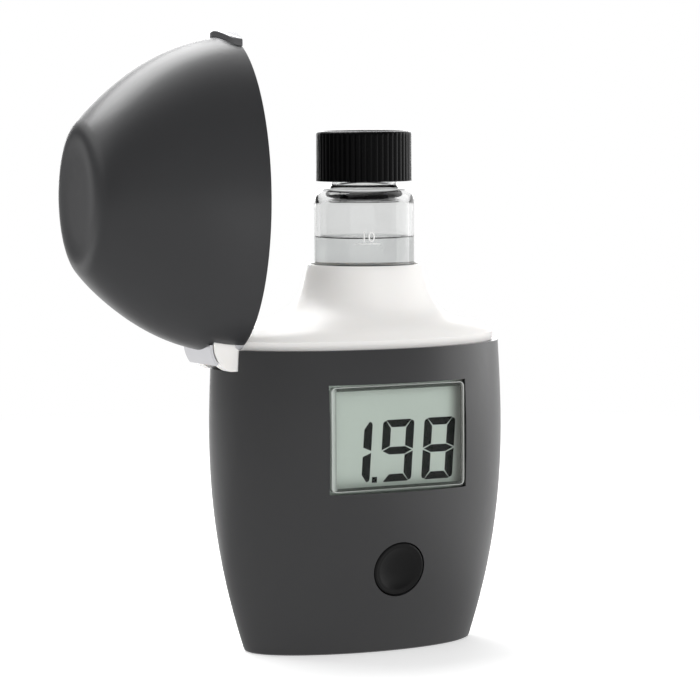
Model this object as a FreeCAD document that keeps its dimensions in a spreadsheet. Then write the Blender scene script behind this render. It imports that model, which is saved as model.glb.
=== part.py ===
import FreeCAD, Part
import os
import re
import Sketcher
from FreeCAD import Placement, Rotation, Vector

# Portable colorimeter, lid open and vial raised. Millimetres, +Z up.
# Origin: centre of the base. -Y is the display side, the lid hinge is at -X.

doc = FreeCAD.newDocument("PortableColorimeter")

driving_sizes = {
    # Body shell: its belly, and how far its other levels draw in from it, in
    # half length (X) and in half depth (Y)
    "belly_length": 29.0,
    "belly_level": 42.0,
    "base_tuck": 5.9,
    "base_draw": 7.0,
    "foot_level": 8.0,
    "foot_tuck": 3.94,
    "foot_draw": 4.2,
    "waist_level": 20.0,
    "waist_tuck": 1.5,
    "waist_draw": 1.4,
    "seam_level": 56.1,
    "seam_tuck": 0.4,
    "seam_draw": 1.2,
    "shell_wall": 2.0,
    "floor_wall": 2.6,
    "base_round": 0.8,
    # Display stack, from the well out to the front of the shell
    "well_wall": 1.2,
    "board_gap": 0.3,
    "board_wall": 1.0,
    "strip_wall": 1.0,
    "strip_height": 1.6,
    "glass_wall": 1.1,
    "glass_lap": 1.1,
    "glass_margin": 1.3,
    "fit_gap": 0.1,
    "window_wall": 0.8,
    "window_lap": 0.6,
    "window_bevel": 0.35,
    "window_sink": 3.6,
    "display_drop": 16.1,
    "display_width": 28.2,
    "display_height": 19.8,
    "frame_rib": 0.35,
    "bezel_wall": 1.2,
    "board_width": 31.2,
    "board_drop": 1.4,
    "board_skirt": 16.6,
    "tongue_reach": 3.2,
    "tongue_width": 15.0,
    "tongue_slope": 3.0,
    # Button: its axis leans with the slope of the shell
    "button_level": 15.8,
    "button_sink": 2.4,
    "button_tilt": 12.0,
    "button_radius": 5.05,
    "button_gap": 0.15,
    "button_flange": 0.6,
    "button_land": 1.2,
    "button_step": 0.25,
    "flange_wall": 0.7,
    "button_dish": 0.9,
    "button_rim": 0.45,
    "button_edge": 0.3,
    "button_travel": 0.6,
    "switch_width": 6.0,
    "switch_height": 5.0,
    "switch_wall": 0.85,
    "plunger_radius": 1.2,
    "plunger_gap": 0.15,
    # White top housing: the neck above the seam
    "flange_inset": 1.15,
    "flange_rise": 1.5,
    "neck_rise": 14.6,
    "skirt_depth": 3.1,
    "skirt_wall": 1.5,
    "well_gap": 0.27,
    "well_floor": 12.5,
    "flare_low": 1.1,
    "flare_low_tuck": 1.5,
    "flare_low_draw": 0.6,
    "flare_knee": 2.2,
    "flare_knee_tuck": 5.0,
    "flare_knee_draw": 1.35,
    "flare_mid": 3.5,
    "flare_mid_spread": 6.6,
    "flare_mid_swell": 2.9,
    "flare_high": 5.6,
    "flare_high_spread": 3.1,
    "flare_high_swell": 1.75,
    "flare_top": 8.5,
    "flare_top_spread": 1.15,
    "flare_top_swell": 1.1,
    "well_base": 1.2,
    "beam_level": 32.0,
    "seal_wall": 0.7,
    "seal_height": 2.3,
    "seal_sink": 0.4,
    "seal_gap": 0.07,
    # Lid: how far it draws in from the seam at levels above its rim
    "lid_gap": 0.3,
    "lid_low": 6.0,
    "low_tuck": 0.7,
    "low_draw": 0.5,
    "lid_mid": 15.6,
    "mid_tuck": 4.2,
    "mid_draw": 2.0,
    "high_step": 4.6,
    "high_tuck": 11.2,
    "high_draw": 5.2,
    "crown_step": 0.9,
    "crown_tuck": 15.1,
    "crown_draw": 7.7,
    "lid_rise": 30.1,
    "top_tuck": 16.4,
    "top_draw": 9.0,
    "lid_wall": 1.8,
    "hollow_ease": 0.8,
    "lip_wall": 0.8,
    "lip_rise": 3.0,
    "lid_angle": 90.0,
    # Hinge at the left end and clasp at the right end of the lid
    "hinge_tuck": 1.8,
    "hinge_rise": 1.0,
    "knuckle_radius": 5.1,
    "knuckle_half": 5.5,
    "lid_knuckle_half": 2.4,
    "lid_knuckle_radius": 4.0,
    "pin_radius": 0.9,
    "pin_gap": 0.05,
    "eye_wall": 1.2,
    "notch_depth": 3.8,
    "notch_reach": 3.0,
    "notch_clear": 5.0,
    "notch_margin": 0.3,
    "gap_reach": 4.5,
    "side_gap": 0.2,
    "cover_gap": 0.25,
    "cover_wall": 0.55,
    "cover_start": 88.0,
    "cover_sweep": 40.0,
    "web_start": 76.0,
    "web_sweep": 12.0,
    "web_wall": 1.2,
    "clasp_wall": 1.2,
    "clasp_radius": 6.2,
    "clasp_half": 5.1,
    "clasp_rise": 2.6,
    "clasp_drop": 0.9,
    "clasp_clear": 0.3,
    # Vial, measured from its own base
    "vial_raise": 14.3,
    "vial_radius": 9.23,
    "vial_wall": 1.03,
    "vial_base": 1.5,
    "vial_shoulder": 57.9,
    "shoulder_round": 2.0,
    "heel_round": 0.8,
    "neck_radius": 6.1,
    "neck_wall": 1.1,
    "neck_length": 8.3,
    "neck_foot": 0.4,
    "throat_drop": 0.8,
    "shoulder_drop": 1.3,
    "liquid_top": 48.8,
    "cap_gap": 1.3,
    "cap_wall": 1.61,
    "cap_top_wall": 1.4,
    "cap_round": 0.7,
    "thread_gap": 1.1,
    "cap_ribs": 50,
    "rib_depth": 0.28,
    "liner_wall": 0.6,
    "liner_gap": 0.1,
    # Battery and its round cover in the base
    "tube_space": 0.15,
    "cover_margin": 1.5,
    "battery_radius": 5.25,
    "battery_length": 43.3,
    "battery_seat": 1.2,
    "battery_edge": 0.5,
    "terminal_radius": 1.9,
    "terminal_rise": 1.2,
    "tube_gap": 0.2,
    "tube_wall": 0.7,
    "tube_foot_wall": 0.8,
    "tube_foot_rise": 2.2,
    "tube_reveal": 2.1,
    "cover_radius": 6.15,
    "cover_recess": 0.2,
    "cover_flange": 0.9,
    "cover_neck": 5.8,
    "cover_bore_gap": 0.1,
    "cover_rim_gap": 0.25,
    "cover_top": 3.6,
    "lug_reach": 0.42,
    "lug_width": 2.8,
    "lug_clear": 0.15,
    "slot_length": 9.0,
    "slot_width": 1.6,
    "slot_depth": 0.7,
    "ring_radius": 0.42,
    "ring_step": 0.35,
    "contact_wall": 0.3,
    "contact_width": 3.0,
    "contact_drop": 4.0,
    "dome_radius": 4.4,
    "dome_rise": 0.45,
    # Light path parts
    "lamp_radius": 1.5,
    "lamp_length": 4.4,
    "lamp_rim": 0.4,
    "lamp_gap": 0.3,
    "lamp_fit": 0.05,
    "holder_width": 8.0,
    "holder_depth": 4.3,
    "sensor_width": 3.6,
    "sensor_wall": 1.2,
    "chip_width": 7.0,
    "chip_wall": 1.1,
    "chip_shift": 6.2,
    "chip_drop": 9.0,
    # Screws that hold the board to the housing
    "screw_inset": 2.6,
    "screw_rise": 2.2,
    "screw_radius": 1.0,
    "screw_head": 1.7,
    "head_wall": 0.9,
    "boss_depth": 2.4,
    "boss_half": 1.9,
    "boss_reach": 4.8,
    "boss_trim": 0.5,
}

# Sizes that follow from the driving ones
followers = {
    "well_radius": "vial_radius + well_gap",
    "well_outer": "well_radius + well_wall",
    "collar_radius": "well_outer",
    "board_back": "well_outer + board_gap",
    "board_front": "board_back + board_wall",
    "glass_back": "board_front + strip_wall",
    "glass_front": "glass_back + glass_wall",
    "window_back": "glass_front + fit_gap",
    "window_front": "window_back + window_wall",
    "belly_depth": "window_front + window_sink",
    "base_length": "belly_length - base_tuck",
    "base_depth": "belly_depth - base_draw",
    "foot_length": "belly_length - foot_tuck",
    "foot_depth": "belly_depth - foot_draw",
    "waist_length": "belly_length - waist_tuck",
    "waist_depth": "belly_depth - waist_draw",
    "seam_length": "belly_length - seam_tuck",
    "seam_depth": "belly_depth - seam_draw",
    "display_level": "seam_level - display_drop",
    "window_width": "display_width + 2 * window_lap",
    "window_height": "display_height + 2 * window_lap",
    "glass_width": "display_width + 2 * glass_lap",
    "glass_height": "display_height + 2 * glass_margin",
    "frame_width": "glass_width + 2 * fit_gap + 2 * frame_rib",
    "frame_height": "glass_height + 2 * fit_gap + 2 * frame_rib",
    "board_top": "seam_level - skirt_depth - board_drop",
    "board_step": "display_level - board_skirt",
    "board_foot": "button_level - tongue_reach",
    "button_face": "belly_depth - button_sink",
    "screw_spread": "board_width / 2 - screw_inset",
    "screw_level": "board_step + screw_rise",
    "collar_level": "seam_level + neck_rise",
    "rim_level": "seam_level + lid_gap",
    "lid_high": "lid_rise - high_step",
    "lid_crown": "lid_rise - crown_step",
    "lid_low_length": "seam_length - low_tuck",
    "lid_low_depth": "seam_depth - low_draw",
    "lid_mid_length": "seam_length - mid_tuck",
    "lid_mid_depth": "seam_depth - mid_draw",
    "lid_high_length": "seam_length - high_tuck",
    "lid_high_depth": "seam_depth - high_draw",
    "lid_crown_length": "seam_length - crown_tuck",
    "lid_crown_depth": "seam_depth - crown_draw",
    "lid_top_length": "seam_length - top_tuck",
    "lid_top_depth": "seam_depth - top_draw",
    "hinge_offset": "seam_length - hinge_tuck",
    "hinge_level": "seam_level + hinge_rise",
    "seal_bore": "vial_radius + seal_gap",
    "seal_seat": "seal_bore + seal_wall",
    "seal_top": "collar_level - seal_sink",
    "notch_level": "seam_level - notch_depth",
    "notch_half": "knuckle_half + side_gap",
    "lid_notch": "knuckle_radius + cover_gap",
    "vial_level": "well_floor + vial_raise",
    "neck_bore": "neck_radius - neck_wall",
    "neck_top": "vial_shoulder + neck_length",
    "cap_bottom": "vial_shoulder + cap_gap",
    "cap_height": "neck_length - cap_gap + liner_wall + 2 * liner_gap + cap_top_wall",
    "cap_bore": "neck_radius + thread_gap",
    "cap_radius": "cap_bore + cap_wall",
    "liner_radius": "cap_bore - 2 * liner_gap",
    "cover_hole": "cover_radius + cover_rim_gap",
    "cover_bore": "cover_neck + cover_bore_gap",
    "tube_bore": "battery_radius + tube_gap",
    "tube_outer": "tube_bore + tube_wall",
    "battery_offset": "base_length - cover_margin - cover_hole",
    "vial_offset": "tube_outer + tube_space + well_outer - battery_offset",
    "battery_base": "cover_top + battery_seat",
    "tube_top": "battery_base + battery_length - tube_reveal",
    "ledge_level": "cover_recess + cover_flange + fit_gap",
}

sheet = doc.addObject("Spreadsheet::Sheet", "Sizes")
for row, (alias, value) in enumerate(driving_sizes.items(), start=1):
    sheet.set(f"A{row}", alias)
    sheet.set(f"B{row}", str(value))
    sheet.setAlias(f"B{row}", alias)
doc.recompute()


# Turns plain size names into an expression on the sheet
def link(text):
    def swap(found):
        word = found.group()
        if word in followers:
            return "(" + link(followers[word]) + ")"
        return "Sizes." + word if word in driving_sizes else word
    return re.sub(r"[a-z]+(?:_[a-z]+)+", swap, str(text))


def number(text):
    return float(sheet.evalExpression(link(text)))


def bind(item, **properties):
    for name, text in properties.items():
        item.setExpression(name.replace("__", "."), link(text))
    return item


# Puts an object's own zero at a bound point, turned by a fixed rotation
def place(item, x="0", y="0", z="0", turn=None):
    if turn is not None:
        item.Placement = Placement(Vector(), turn)
    for axis, text in zip("xyz", (x, y, z)):
        item.setExpression(f"Placement.Base.{axis}", link(text))
    return item


# Rotations that lay a shape's own Z along +Y, -Y or +X
along_y = Rotation(Vector(1, 0, 0), -90)
along_minus_y = Rotation(Vector(1, 0, 0), 90)
along_x = Rotation(Vector(0, 1, 0), 90)


def box(name, length, width, height, x="0", y="0", z="0"):
    item = doc.addObject("Part::Box", name)
    bind(item, Length=length, Width=width, Height=height)
    return place(item, x, y, z)


# A box centred on x and, where asked, centred on z
def middle_box(name, length, width, height, x, y, z, centre_z=False):
    low_z = f"({z}) - ({height}) / 2" if centre_z else z
    return box(name, length, width, height, f"({x}) - ({length}) / 2", y, low_z)


def cylinder(name, radius, height, x="0", y="0", z="0", turn=None):
    item = doc.addObject("Part::Cylinder", name)
    bind(item, Radius=radius, Height=height)
    return place(item, x, y, z, turn)


def cut(name, base, tool):
    item = doc.addObject("Part::Cut", name)
    item.Base = base
    item.Tool = tool
    return item


def common(name, base, tool):
    item = doc.addObject("Part::Common", name)
    item.Base = base
    item.Tool = tool
    return item


def fuse(name, *pieces):
    item = doc.addObject("Part::MultiFuse", name)
    item.Shapes = list(pieces)
    return item


# Joins several cutters into one, then cuts them all at once
def cut_all(name, base, *tools):
    return cut(name, base, fuse(name + "_tools", *tools))


def plane_of(body, role):
    return [feature for feature in body.Origin.OriginFeatures if feature.Role == role][0]


def new_sketch(body, name, role, level="0"):
    sketch = body.newObject("Sketcher::SketchObject", name)
    sketch.AttachmentSupport = (plane_of(body, role), "")
    sketch.MapMode = "FlatFace"
    sketch.setExpression("AttachmentOffset.Base.z", link(level))
    return sketch


def hold(sketch, kind, places, text):
    index = sketch.addConstraint(Sketcher.Constraint(kind, *places, number(text)))
    sketch.setExpression(f"Constraints[{index}]", link(text))


# One oval section of a loft, centred at (shift, 0) on its level
def oval_section(body, name, level, length, depth, shift="0"):
    sketch = new_sketch(body, name, "XY_Plane", level)
    centre = Vector(number(shift), 0, 0)
    tip = centre + Vector(number(length), 0, 0)
    side = centre + Vector(0, number(depth), 0)
    sketch.addGeometry(Part.Ellipse(tip, side, centre), False)
    sketch.exposeInternalGeometry(0)
    sketch.addConstraint(Sketcher.Constraint("PointOnObject", 0, 3, -1))
    sketch.addConstraint(Sketcher.Constraint("Horizontal", 1))
    if str(shift) == "0":
        sketch.addConstraint(Sketcher.Constraint("PointOnObject", 0, 3, -2))
    else:
        hold(sketch, "DistanceX", (-1, 1, 0, 3), shift)
    hold(sketch, "Distance", (1,), f"2 * ({length})")
    hold(sketch, "Distance", (2,), f"2 * ({depth})")
    return sketch


# A body lofted through oval sections given as (level, length, depth[, shift])
def lofted(name, sections, ruled=False):
    body = doc.addObject("PartDesign::Body", name)
    sketches = []
    for index, section in enumerate(sections):
        sketches.append(oval_section(body, f"{name}_oval{index}", *section))
    loft = body.newObject("PartDesign::AdditiveLoft", name + "_loft")
    loft.Profile = sketches[0]
    loft.Sections = sketches[1:]
    loft.Ruled = ruled
    doc.recompute()
    return body


# An upright oval prism from its level upwards
def oval_prism(name, level, height, length, depth, shift="0"):
    body = doc.addObject("PartDesign::Body", name)
    sketch = oval_section(body, name + "_oval", level, length, depth, shift)
    pad = body.newObject("PartDesign::Pad", name + "_pad")
    pad.Profile = sketch
    pad.setExpression("Length", link(height))
    doc.recompute()
    return body


# A closed outline whose corners are each tied to a pair of sizes
def outline(body, name, role, corners, level="0"):
    sketch = new_sketch(body, name, role, level)
    points = [Vector(number(across), number(up), 0) for across, up in corners]
    count = len(points)
    for index in range(count):
        sketch.addGeometry(Part.LineSegment(points[index], points[(index + 1) % count]), False)
    for index in range(count):
        sketch.addConstraint(Sketcher.Constraint("Coincident", index, 2, (index + 1) % count, 1))
    for index, (across, up) in enumerate(corners):
        for kind, text, axis in (("DistanceX", across, -2), ("DistanceY", up, -1)):
            if str(text) == "0":
                sketch.addConstraint(Sketcher.Constraint("PointOnObject", index, 1, axis))
            else:
                hold(sketch, kind, (-1, 1, index, 1), text)
    return sketch


# A turned piece: corners are (radius, height) about its own Z
def turned(name, corners):
    body = doc.addObject("PartDesign::Body", name)
    sketch = outline(body, name + "_profile", "XZ_Plane", corners)
    spin = body.newObject("PartDesign::Revolution", name + "_turn")
    spin.Profile = sketch
    spin.ReferenceAxis = (sketch, ["V_Axis"])
    spin.Angle = 360
    doc.recompute()
    return body


# A piece padded along +Z from a flat outline
def padded(name, corners, thickness, role="XY_Plane"):
    body = doc.addObject("PartDesign::Body", name)
    sketch = outline(body, name + "_outline", role, corners)
    pad = body.newObject("PartDesign::Pad", name + "_pad")
    pad.Profile = sketch
    pad.setExpression("Length", link(thickness))
    doc.recompute()
    return body


# Names of the edges of the body's tip that pass a test
def edges_where(body, test):
    edges = body.Tip.Shape.Edges
    return [f"Edge{index}" for index, edge in enumerate(edges, start=1) if test(edge)]


def dress(body, kind, size_name, text, test):
    names = edges_where(body, test)
    feature = body.newObject("PartDesign::" + kind, f"{body.Name}_{kind.lower()}{len(body.Group)}")
    feature.Base = (body.Tip if body.Tip != feature else body.Group[-2], names)
    feature.setExpression(size_name, link(text))
    doc.recompute()
    return feature


# Picks the flat edges at a height, all of them or the circle of one radius
def at_height(height, radius=None):
    def test(edge):
        span = edge.BoundBox
        level_ok = abs(span.ZMin - height) < 1e-4 and abs(span.ZMax - height) < 1e-4
        return level_ok and (radius is None or abs(span.XMax - radius) < 1e-4)
    return test


nodes = {}


def keep(node, item):
    item.Label = node
    nodes[node] = item
    return item


# Body shell: a tapering oval cup with the battery tube moulded in

shell_levels = [
    ("base_round", "base_length", "base_depth"),
    ("foot_level", "foot_length", "foot_depth"),
    ("waist_level", "waist_length", "waist_depth"),
    ("belly_level", "belly_length", "belly_depth"),
    ("seam_level", "seam_length", "seam_depth"),
]


def inset(text, wall):
    return f"{text} - {wall}"


shell_flank = lofted("shell_flank", shell_levels)
base_edge = lofted("base_edge", [
    ("0", inset("base_length", "base_round"), inset("base_depth", "base_round")),
    ("0.3 * base_round", "base_length - 0.3 * base_round", "base_depth - 0.3 * base_round"),
    ("base_round", "base_length", "base_depth"),
], ruled=True)
shell_form = fuse("shell_form", shell_flank, base_edge)
hollow_levels = [("floor_wall", *shell_levels[0][1:])] + shell_levels[1:]
shell_hollow = lofted("shell_hollow", [
    (level, inset(length, "shell_wall"), inset(depth, "shell_wall"))
    for level, length, depth in hollow_levels
])
bezel_block = middle_box(
    "bezel_block",
    "glass_width + 2 * bezel_wall", "belly_depth", "glass_height + 2 * bezel_wall",
    "0", "-glass_back - belly_depth", "display_level", centre_z=True,
)
shell_space = cut("shell_space", shell_hollow, bezel_block)
shell_cup = cut("shell_cup", shell_form, shell_space)

tube_foot = cylinder(
    "tube_foot", "cover_hole + tube_foot_wall", "cover_top + tube_foot_rise - floor_wall / 2",
    "-battery_offset", "0", "floor_wall / 2")
tube_wall = cylinder("tube_wall_form", "tube_outer", "tube_top - floor_wall",
                     "-battery_offset", "0", "floor_wall")
shell_solid = fuse("shell_solid", shell_cup, common("tube_foot_trimmed", tube_foot, shell_form), tube_wall)

# The button's frame: own Z points into the shell along the button's travel
button_turn = Rotation(Vector(-1, 0, 0), 90 - driving_sizes["button_tilt"])


def on_button_axis(item, depth="0"):
    item.Placement = Placement(Vector(), button_turn)
    item.setExpression("Placement.Rotation.Angle", link("90 - button_tilt"))
    item.setExpression("Placement.Base.y", link(f"-button_face + ({depth}) * cos(button_tilt)"))
    item.setExpression("Placement.Base.z", link(f"button_level + ({depth}) * sin(button_tilt)"))
    return item


def button_cylinder(name, radius, start, length):
    item = doc.addObject("Part::Cylinder", name)
    bind(item, Radius=radius, Height=length)
    return on_button_axis(item, start)


lug_level = "floor_wall + lug_clear"
# Room that the display frame, the board and the screw heads need where the shell comes near them
frame_space = middle_box("frame_space", "frame_width", "strip_wall - 0.25", "frame_height",
                         "0", "-glass_back + 0.25", "display_level", centre_z=True)
board_space = middle_box("board_space", "board_width", "board_wall", "board_top - board_step",
                         "0", "-board_front", "board_step")
head_spaces = [
    cylinder(f"head_space_{side}", "screw_head", "head_wall",
             f"{sign}screw_spread", "-board_front", "screw_level", along_minus_y)
    for side, sign in (("left", "-"), ("right", ""))
]
shell_cutters = [
    frame_space,
    board_space,
    *head_spaces,
    middle_box("display_opening", "display_width", "belly_depth", "display_height",
               "0", "-glass_back - belly_depth", "display_level", centre_z=True),
    middle_box("window_seat", "window_width + fit_gap", "window_front - glass_back + 1",
               "window_height + fit_gap", "0", "-window_front", "display_level", centre_z=True),
    middle_box("glass_seat", "glass_width + 2 * fit_gap", "glass_wall + 1",
               "glass_height + 2 * fit_gap", "0", "-glass_front - fit_gap / 2", "display_level",
               centre_z=True),
    button_cylinder("button_hole", "button_radius + button_gap", "-4", "9"),
    button_cylinder("button_land_cut", "button_radius + button_flange + button_step", "button_land", "3"),
    box("hinge_notch", "notch_reach + notch_clear", "2 * notch_half", "notch_depth + 2",
        "-hinge_offset - notch_clear", "-notch_half", "notch_level"),
    cylinder("cover_counterbore", "cover_hole", "ledge_level + 1", "-battery_offset", "0", "-1"),
    cylinder("cover_ledge_bore", "cover_bore", "floor_wall + 1", "-battery_offset", "0", "-0.5"),
    cylinder("lug_chamber", "cover_hole", "cover_top + 0.6 - floor_wall",
             "-battery_offset", "0", "floor_wall"),
    cylinder("battery_bore", "tube_bore", "tube_top", "-battery_offset", "0", "floor_wall + 0.5"),
    box("lug_gate_cut", "lug_width + 0.8", "2 * (cover_hole - 0.05)", "floor_wall + 0.2",
        "-battery_offset - (lug_width + 0.8) / 2", "-cover_hole + 0.05", "0.5"),
]
keep("body_shell", cut_all("body_shell_part", shell_solid, *shell_cutters))

# Top housing: flange, flared neck, well for the vial and the outer hinge knuckles

flange_length = "seam_length - flange_inset"
flange_depth = "seam_depth - flange_inset"
flange_form = oval_prism("flange_form", "seam_level", "flange_rise", flange_length, flange_depth)
flange_level = "seam_level + flange_rise"
neck_flare = lofted("neck_flare", [
    (flange_level, flange_length, flange_depth),
    (f"{flange_level} + flare_low", f"{flange_length} - flare_low_tuck",
     f"{flange_depth} - flare_low_draw", "vial_offset * 0.05"),
    (f"{flange_level} + flare_knee", f"{flange_length} - flare_knee_tuck",
     f"{flange_depth} - flare_knee_draw", "vial_offset * 0.2"),
    (f"{flange_level} + flare_mid", "collar_radius + flare_mid_spread",
     "collar_radius + flare_mid_swell", "vial_offset * 0.55"),
    (f"{flange_level} + flare_high", "collar_radius + flare_high_spread",
     "collar_radius + flare_high_swell", "vial_offset * 0.9"),
    (f"{flange_level} + flare_top", "collar_radius + flare_top_spread",
     "collar_radius + flare_top_swell", "vial_offset"),
    ("collar_level", "collar_radius", "collar_radius - 0.01", "vial_offset"),
])
neck_form = fuse("neck_form", flange_form, neck_flare)
skirt_form = oval_prism("skirt_form", "seam_level - skirt_depth", "skirt_depth + 0.5",
                        "seam_length - shell_wall - fit_gap", "seam_depth - shell_wall - fit_gap")
skirt_length = "seam_length - shell_wall - fit_gap - skirt_wall"
skirt_thin = "seam_depth - shell_wall - fit_gap - skirt_wall"
skirt_hollow = oval_prism("skirt_hollow", "seam_level - skirt_depth - 0.5", "skirt_depth + 1",
                          skirt_length, skirt_thin)
neck_hollow = lofted("neck_hollow", [
    ("seam_level + 0.5", skirt_length, skirt_thin),
    ("seam_level + 5.4", "collar_radius + 0.9", "collar_radius + 0.7", "vial_offset"),
], ruled=True)
neck_skin = cut_all("neck_skin", fuse("neck_block", neck_form, skirt_form), skirt_hollow, neck_hollow)

well_tube = cylinder("well_tube", "well_outer", "collar_level - 6 - well_floor + well_base",
                     "vial_offset", "0", "well_floor - well_base")
knuckle_length = "knuckle_half - lid_knuckle_half - side_gap"
knuckle_trim = box("knuckle_trim", "knuckle_radius + 1", "2 * knuckle_half + 1", "knuckle_radius + 1",
                   "-hinge_offset", "-knuckle_half - 0.5", "seam_level + flange_rise / 2")
knuckles = []
for side, start in (("front", "-knuckle_half"), ("rear", "lid_knuckle_half + side_gap")):
    disc = cylinder(f"knuckle_{side}", "knuckle_radius", knuckle_length,
                    "-hinge_offset", start, "hinge_level", along_y)
    eye = cylinder(f"pin_eye_{side}", "pin_radius + eye_wall", knuckle_length,
                   "-hinge_offset", start, "hinge_level", along_y)
    knuckles += [cut(f"knuckle_half_{side}", disc, knuckle_trim), eye]
bosses = [
    box("boss_left", "screw_spread + boss_half + vial_offset - boss_reach", "boss_depth",
        "2 * (boss_half - boss_trim)", "-screw_spread - boss_half", "-board_back",
        "screw_level - boss_half + boss_trim"),
    box("boss_right", "screw_spread + boss_half - vial_offset - boss_reach", "boss_depth",
        "2 * (boss_half - boss_trim)", "vial_offset + boss_reach", "-board_back",
        "screw_level - boss_half + boss_trim"),
]
housing_solid = fuse("housing_solid", neck_skin, well_tube, *knuckles, *bosses)
screw_holes = [
    cylinder(f"screw_hole_{side}", "screw_radius", "boss_depth + 1",
             f"{sign}screw_spread", "-board_back - 0.5", "screw_level", along_y)
    for side, sign in (("left", "-"), ("right", ""))
]
housing_cutters = [
    cylinder("well_bore", "well_radius", "collar_level", "vial_offset", "0", "well_floor"),
    cylinder("seal_seat_cut", "seal_seat", "seal_height + seal_sink + 1",
             "vial_offset", "0", "seal_top - seal_height"),
    middle_box("sensor_port", "sensor_width + 0.2", "well_outer - 4", "sensor_width + 0.2",
               "vial_offset", "-well_outer - 0.5", "beam_level", centre_z=True),
    cylinder("lamp_port", "lamp_radius + 0.1", "well_outer", "vial_offset", "4", "beam_level", along_y),
    box("knuckle_gap", "knuckle_radius + 1 + gap_reach", "2 * (lid_knuckle_half + side_gap)",
        "notch_depth + 2 * knuckle_radius",
        "-hinge_offset - knuckle_radius - 1", "-lid_knuckle_half - side_gap", "notch_level - 1"),
    box("knuckle_flat", "knuckle_radius + 3", "2 * knuckle_half + 1", "3",
        "-hinge_offset - knuckle_radius - 1", "-knuckle_half - 0.5", "notch_level - 3"),
    cylinder("pin_hole", "pin_radius", "2 * knuckle_half + 1",
             "-hinge_offset", "-knuckle_half - 0.5", "hinge_level", along_y),
    *screw_holes,
]
keep("top_housing", cut_all("top_housing_part", housing_solid, *housing_cutters))

keep("light_seal", place(turned("light_seal_ring", [
    ("seal_bore", "0"),
    ("seal_seat", "0"),
    ("seal_seat", "seal_height"),
    ("seal_bore", "seal_height"),
]), "vial_offset", "0", "seal_top - seal_height"))

# Display: window, glass, frame, contact strips and board

window = padded("window_form", [
    ("-window_width / 2", "-window_height / 2"),
    ("window_width / 2", "-window_height / 2"),
    ("window_width / 2", "window_height / 2"),
    ("-window_width / 2", "window_height / 2"),
], "window_wall", "XZ_Plane")
dress(window, "Chamfer", "Size", "window_bevel",
      lambda edge: abs(edge.BoundBox.YMin + number("window_wall")) < 1e-4
      and edge.BoundBox.YLength < 1e-4)
keep("lcd_window", place(window, "0", "-window_back", "display_level"))
keep("lcd_glass", middle_box("glass_plate", "glass_width", "glass_wall", "glass_height",
                             "0", "-glass_front", "display_level", centre_z=True))
frame_outer = middle_box("frame_outer", "frame_width", "strip_wall - 0.25", "frame_height",
                         "0", "-glass_back + 0.25", "display_level", centre_z=True)
frame_inner = middle_box("frame_inner", "glass_width - 1.2", "strip_wall + 2", "glass_height - 0.6",
                         "0", "-glass_back - 1", "display_level", centre_z=True)
keep("lcd_frame", cut("lcd_frame_part", frame_outer, frame_inner))
strips = [
    middle_box(f"strip_{side}", "glass_width - 1.8", "strip_wall", "strip_height", "0", "-glass_back",
               f"display_level {sign} (glass_height / 2 - strip_height / 2 - 0.5)", centre_z=True)
    for side, sign in (("upper", "+"), ("lower", "-"))
]
strip_pair = doc.addObject("Part::Compound", "strip_pair")
strip_pair.Links = strips
keep("zebra_strips", strip_pair)

board = padded("board_form", [
    ("-tongue_width / 2", "board_foot"),
    ("tongue_width / 2", "board_foot"),
    ("tongue_width / 2", "board_step - tongue_slope"),
    ("board_width / 2", "board_step"),
    ("board_width / 2", "board_top"),
    ("-board_width / 2", "board_top"),
    ("-board_width / 2", "board_step"),
    ("-tongue_width / 2", "board_step - tongue_slope"),
], "board_wall", "XZ_Plane")
place(board, "0", "-board_back", "0")
board_holes = fuse("board_holes", *[
    cylinder(f"board_hole_{side}", "screw_radius + 0.1", "board_wall + 1",
             f"{sign}screw_spread", "-board_front - 0.5", "screw_level", along_y)
    for side, sign in (("left", "-"), ("right", ""))
])
keep("circuit_board", cut("circuit_board_part", board, board_holes))
screws = []
for side, sign in (("left", "-"), ("right", "")):
    shank = cylinder(f"shank_{side}", "screw_radius", "board_wall + boss_depth - 0.4",
                     f"{sign}screw_spread", "-board_front", "screw_level", along_y)
    head = cylinder(f"head_{side}", "screw_head", "head_wall",
                    f"{sign}screw_spread", "-board_front", "screw_level", along_minus_y)
    screws.append(fuse(f"screw_{side}", shank, head))
screw_pair = doc.addObject("Part::Compound", "screw_pair")
screw_pair.Links = screws
keep("board_screws", screw_pair)
keep("controller_chip", box("chip_block", "chip_width", "chip_wall", "chip_width",
                            "vial_offset + chip_shift", "-board_back", "display_level - chip_drop"))

# Button, its plunger and the switch on the board

button_disc = turned("button_disc", [
    ("0", "0"),
    ("button_radius", "0"),
    ("button_radius", "button_land + button_step"),
    ("button_radius + button_flange", "button_land + button_step"),
    ("button_radius + button_flange", "button_land + button_step + flange_wall"),
    ("0", "button_land + button_step + flange_wall"),
])
dress(button_disc, "Fillet", "Radius", "button_edge", at_height(0.0))
dish_radius = "((button_radius - button_rim)^2 + button_dish^2) / (2 * button_dish)"
dish = doc.addObject("Part::Sphere", "button_dish_form")
bind(dish, Radius=dish_radius)
place(dish, "0", "0", f"button_dish - ({dish_radius})")
keep("button_cap", on_button_axis(cut("button_cap_part", button_disc, dish)))
plunger_start = "button_land + button_step + flange_wall"
keep("switch_plunger", button_cylinder("plunger", "plunger_radius", plunger_start,
                                       "(button_face - board_front) / cos(button_tilt) - "
                                       f"({plunger_start}) - button_travel "
                                       "- plunger_radius * tan(button_tilt) - plunger_gap"))
switch_block = middle_box("switch_block", "switch_width", "switch_wall", "switch_height", "0",
                          "-board_front - switch_wall", "button_level + 0.9", centre_z=True)
switch_bore = button_cylinder("switch_bore", "plunger_radius + 0.3", "button_land", "6")
keep("switch_body", cut("switch_body_part", switch_block, switch_bore))

# Light path: lamp and holder behind the well, sensor on the board

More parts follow.
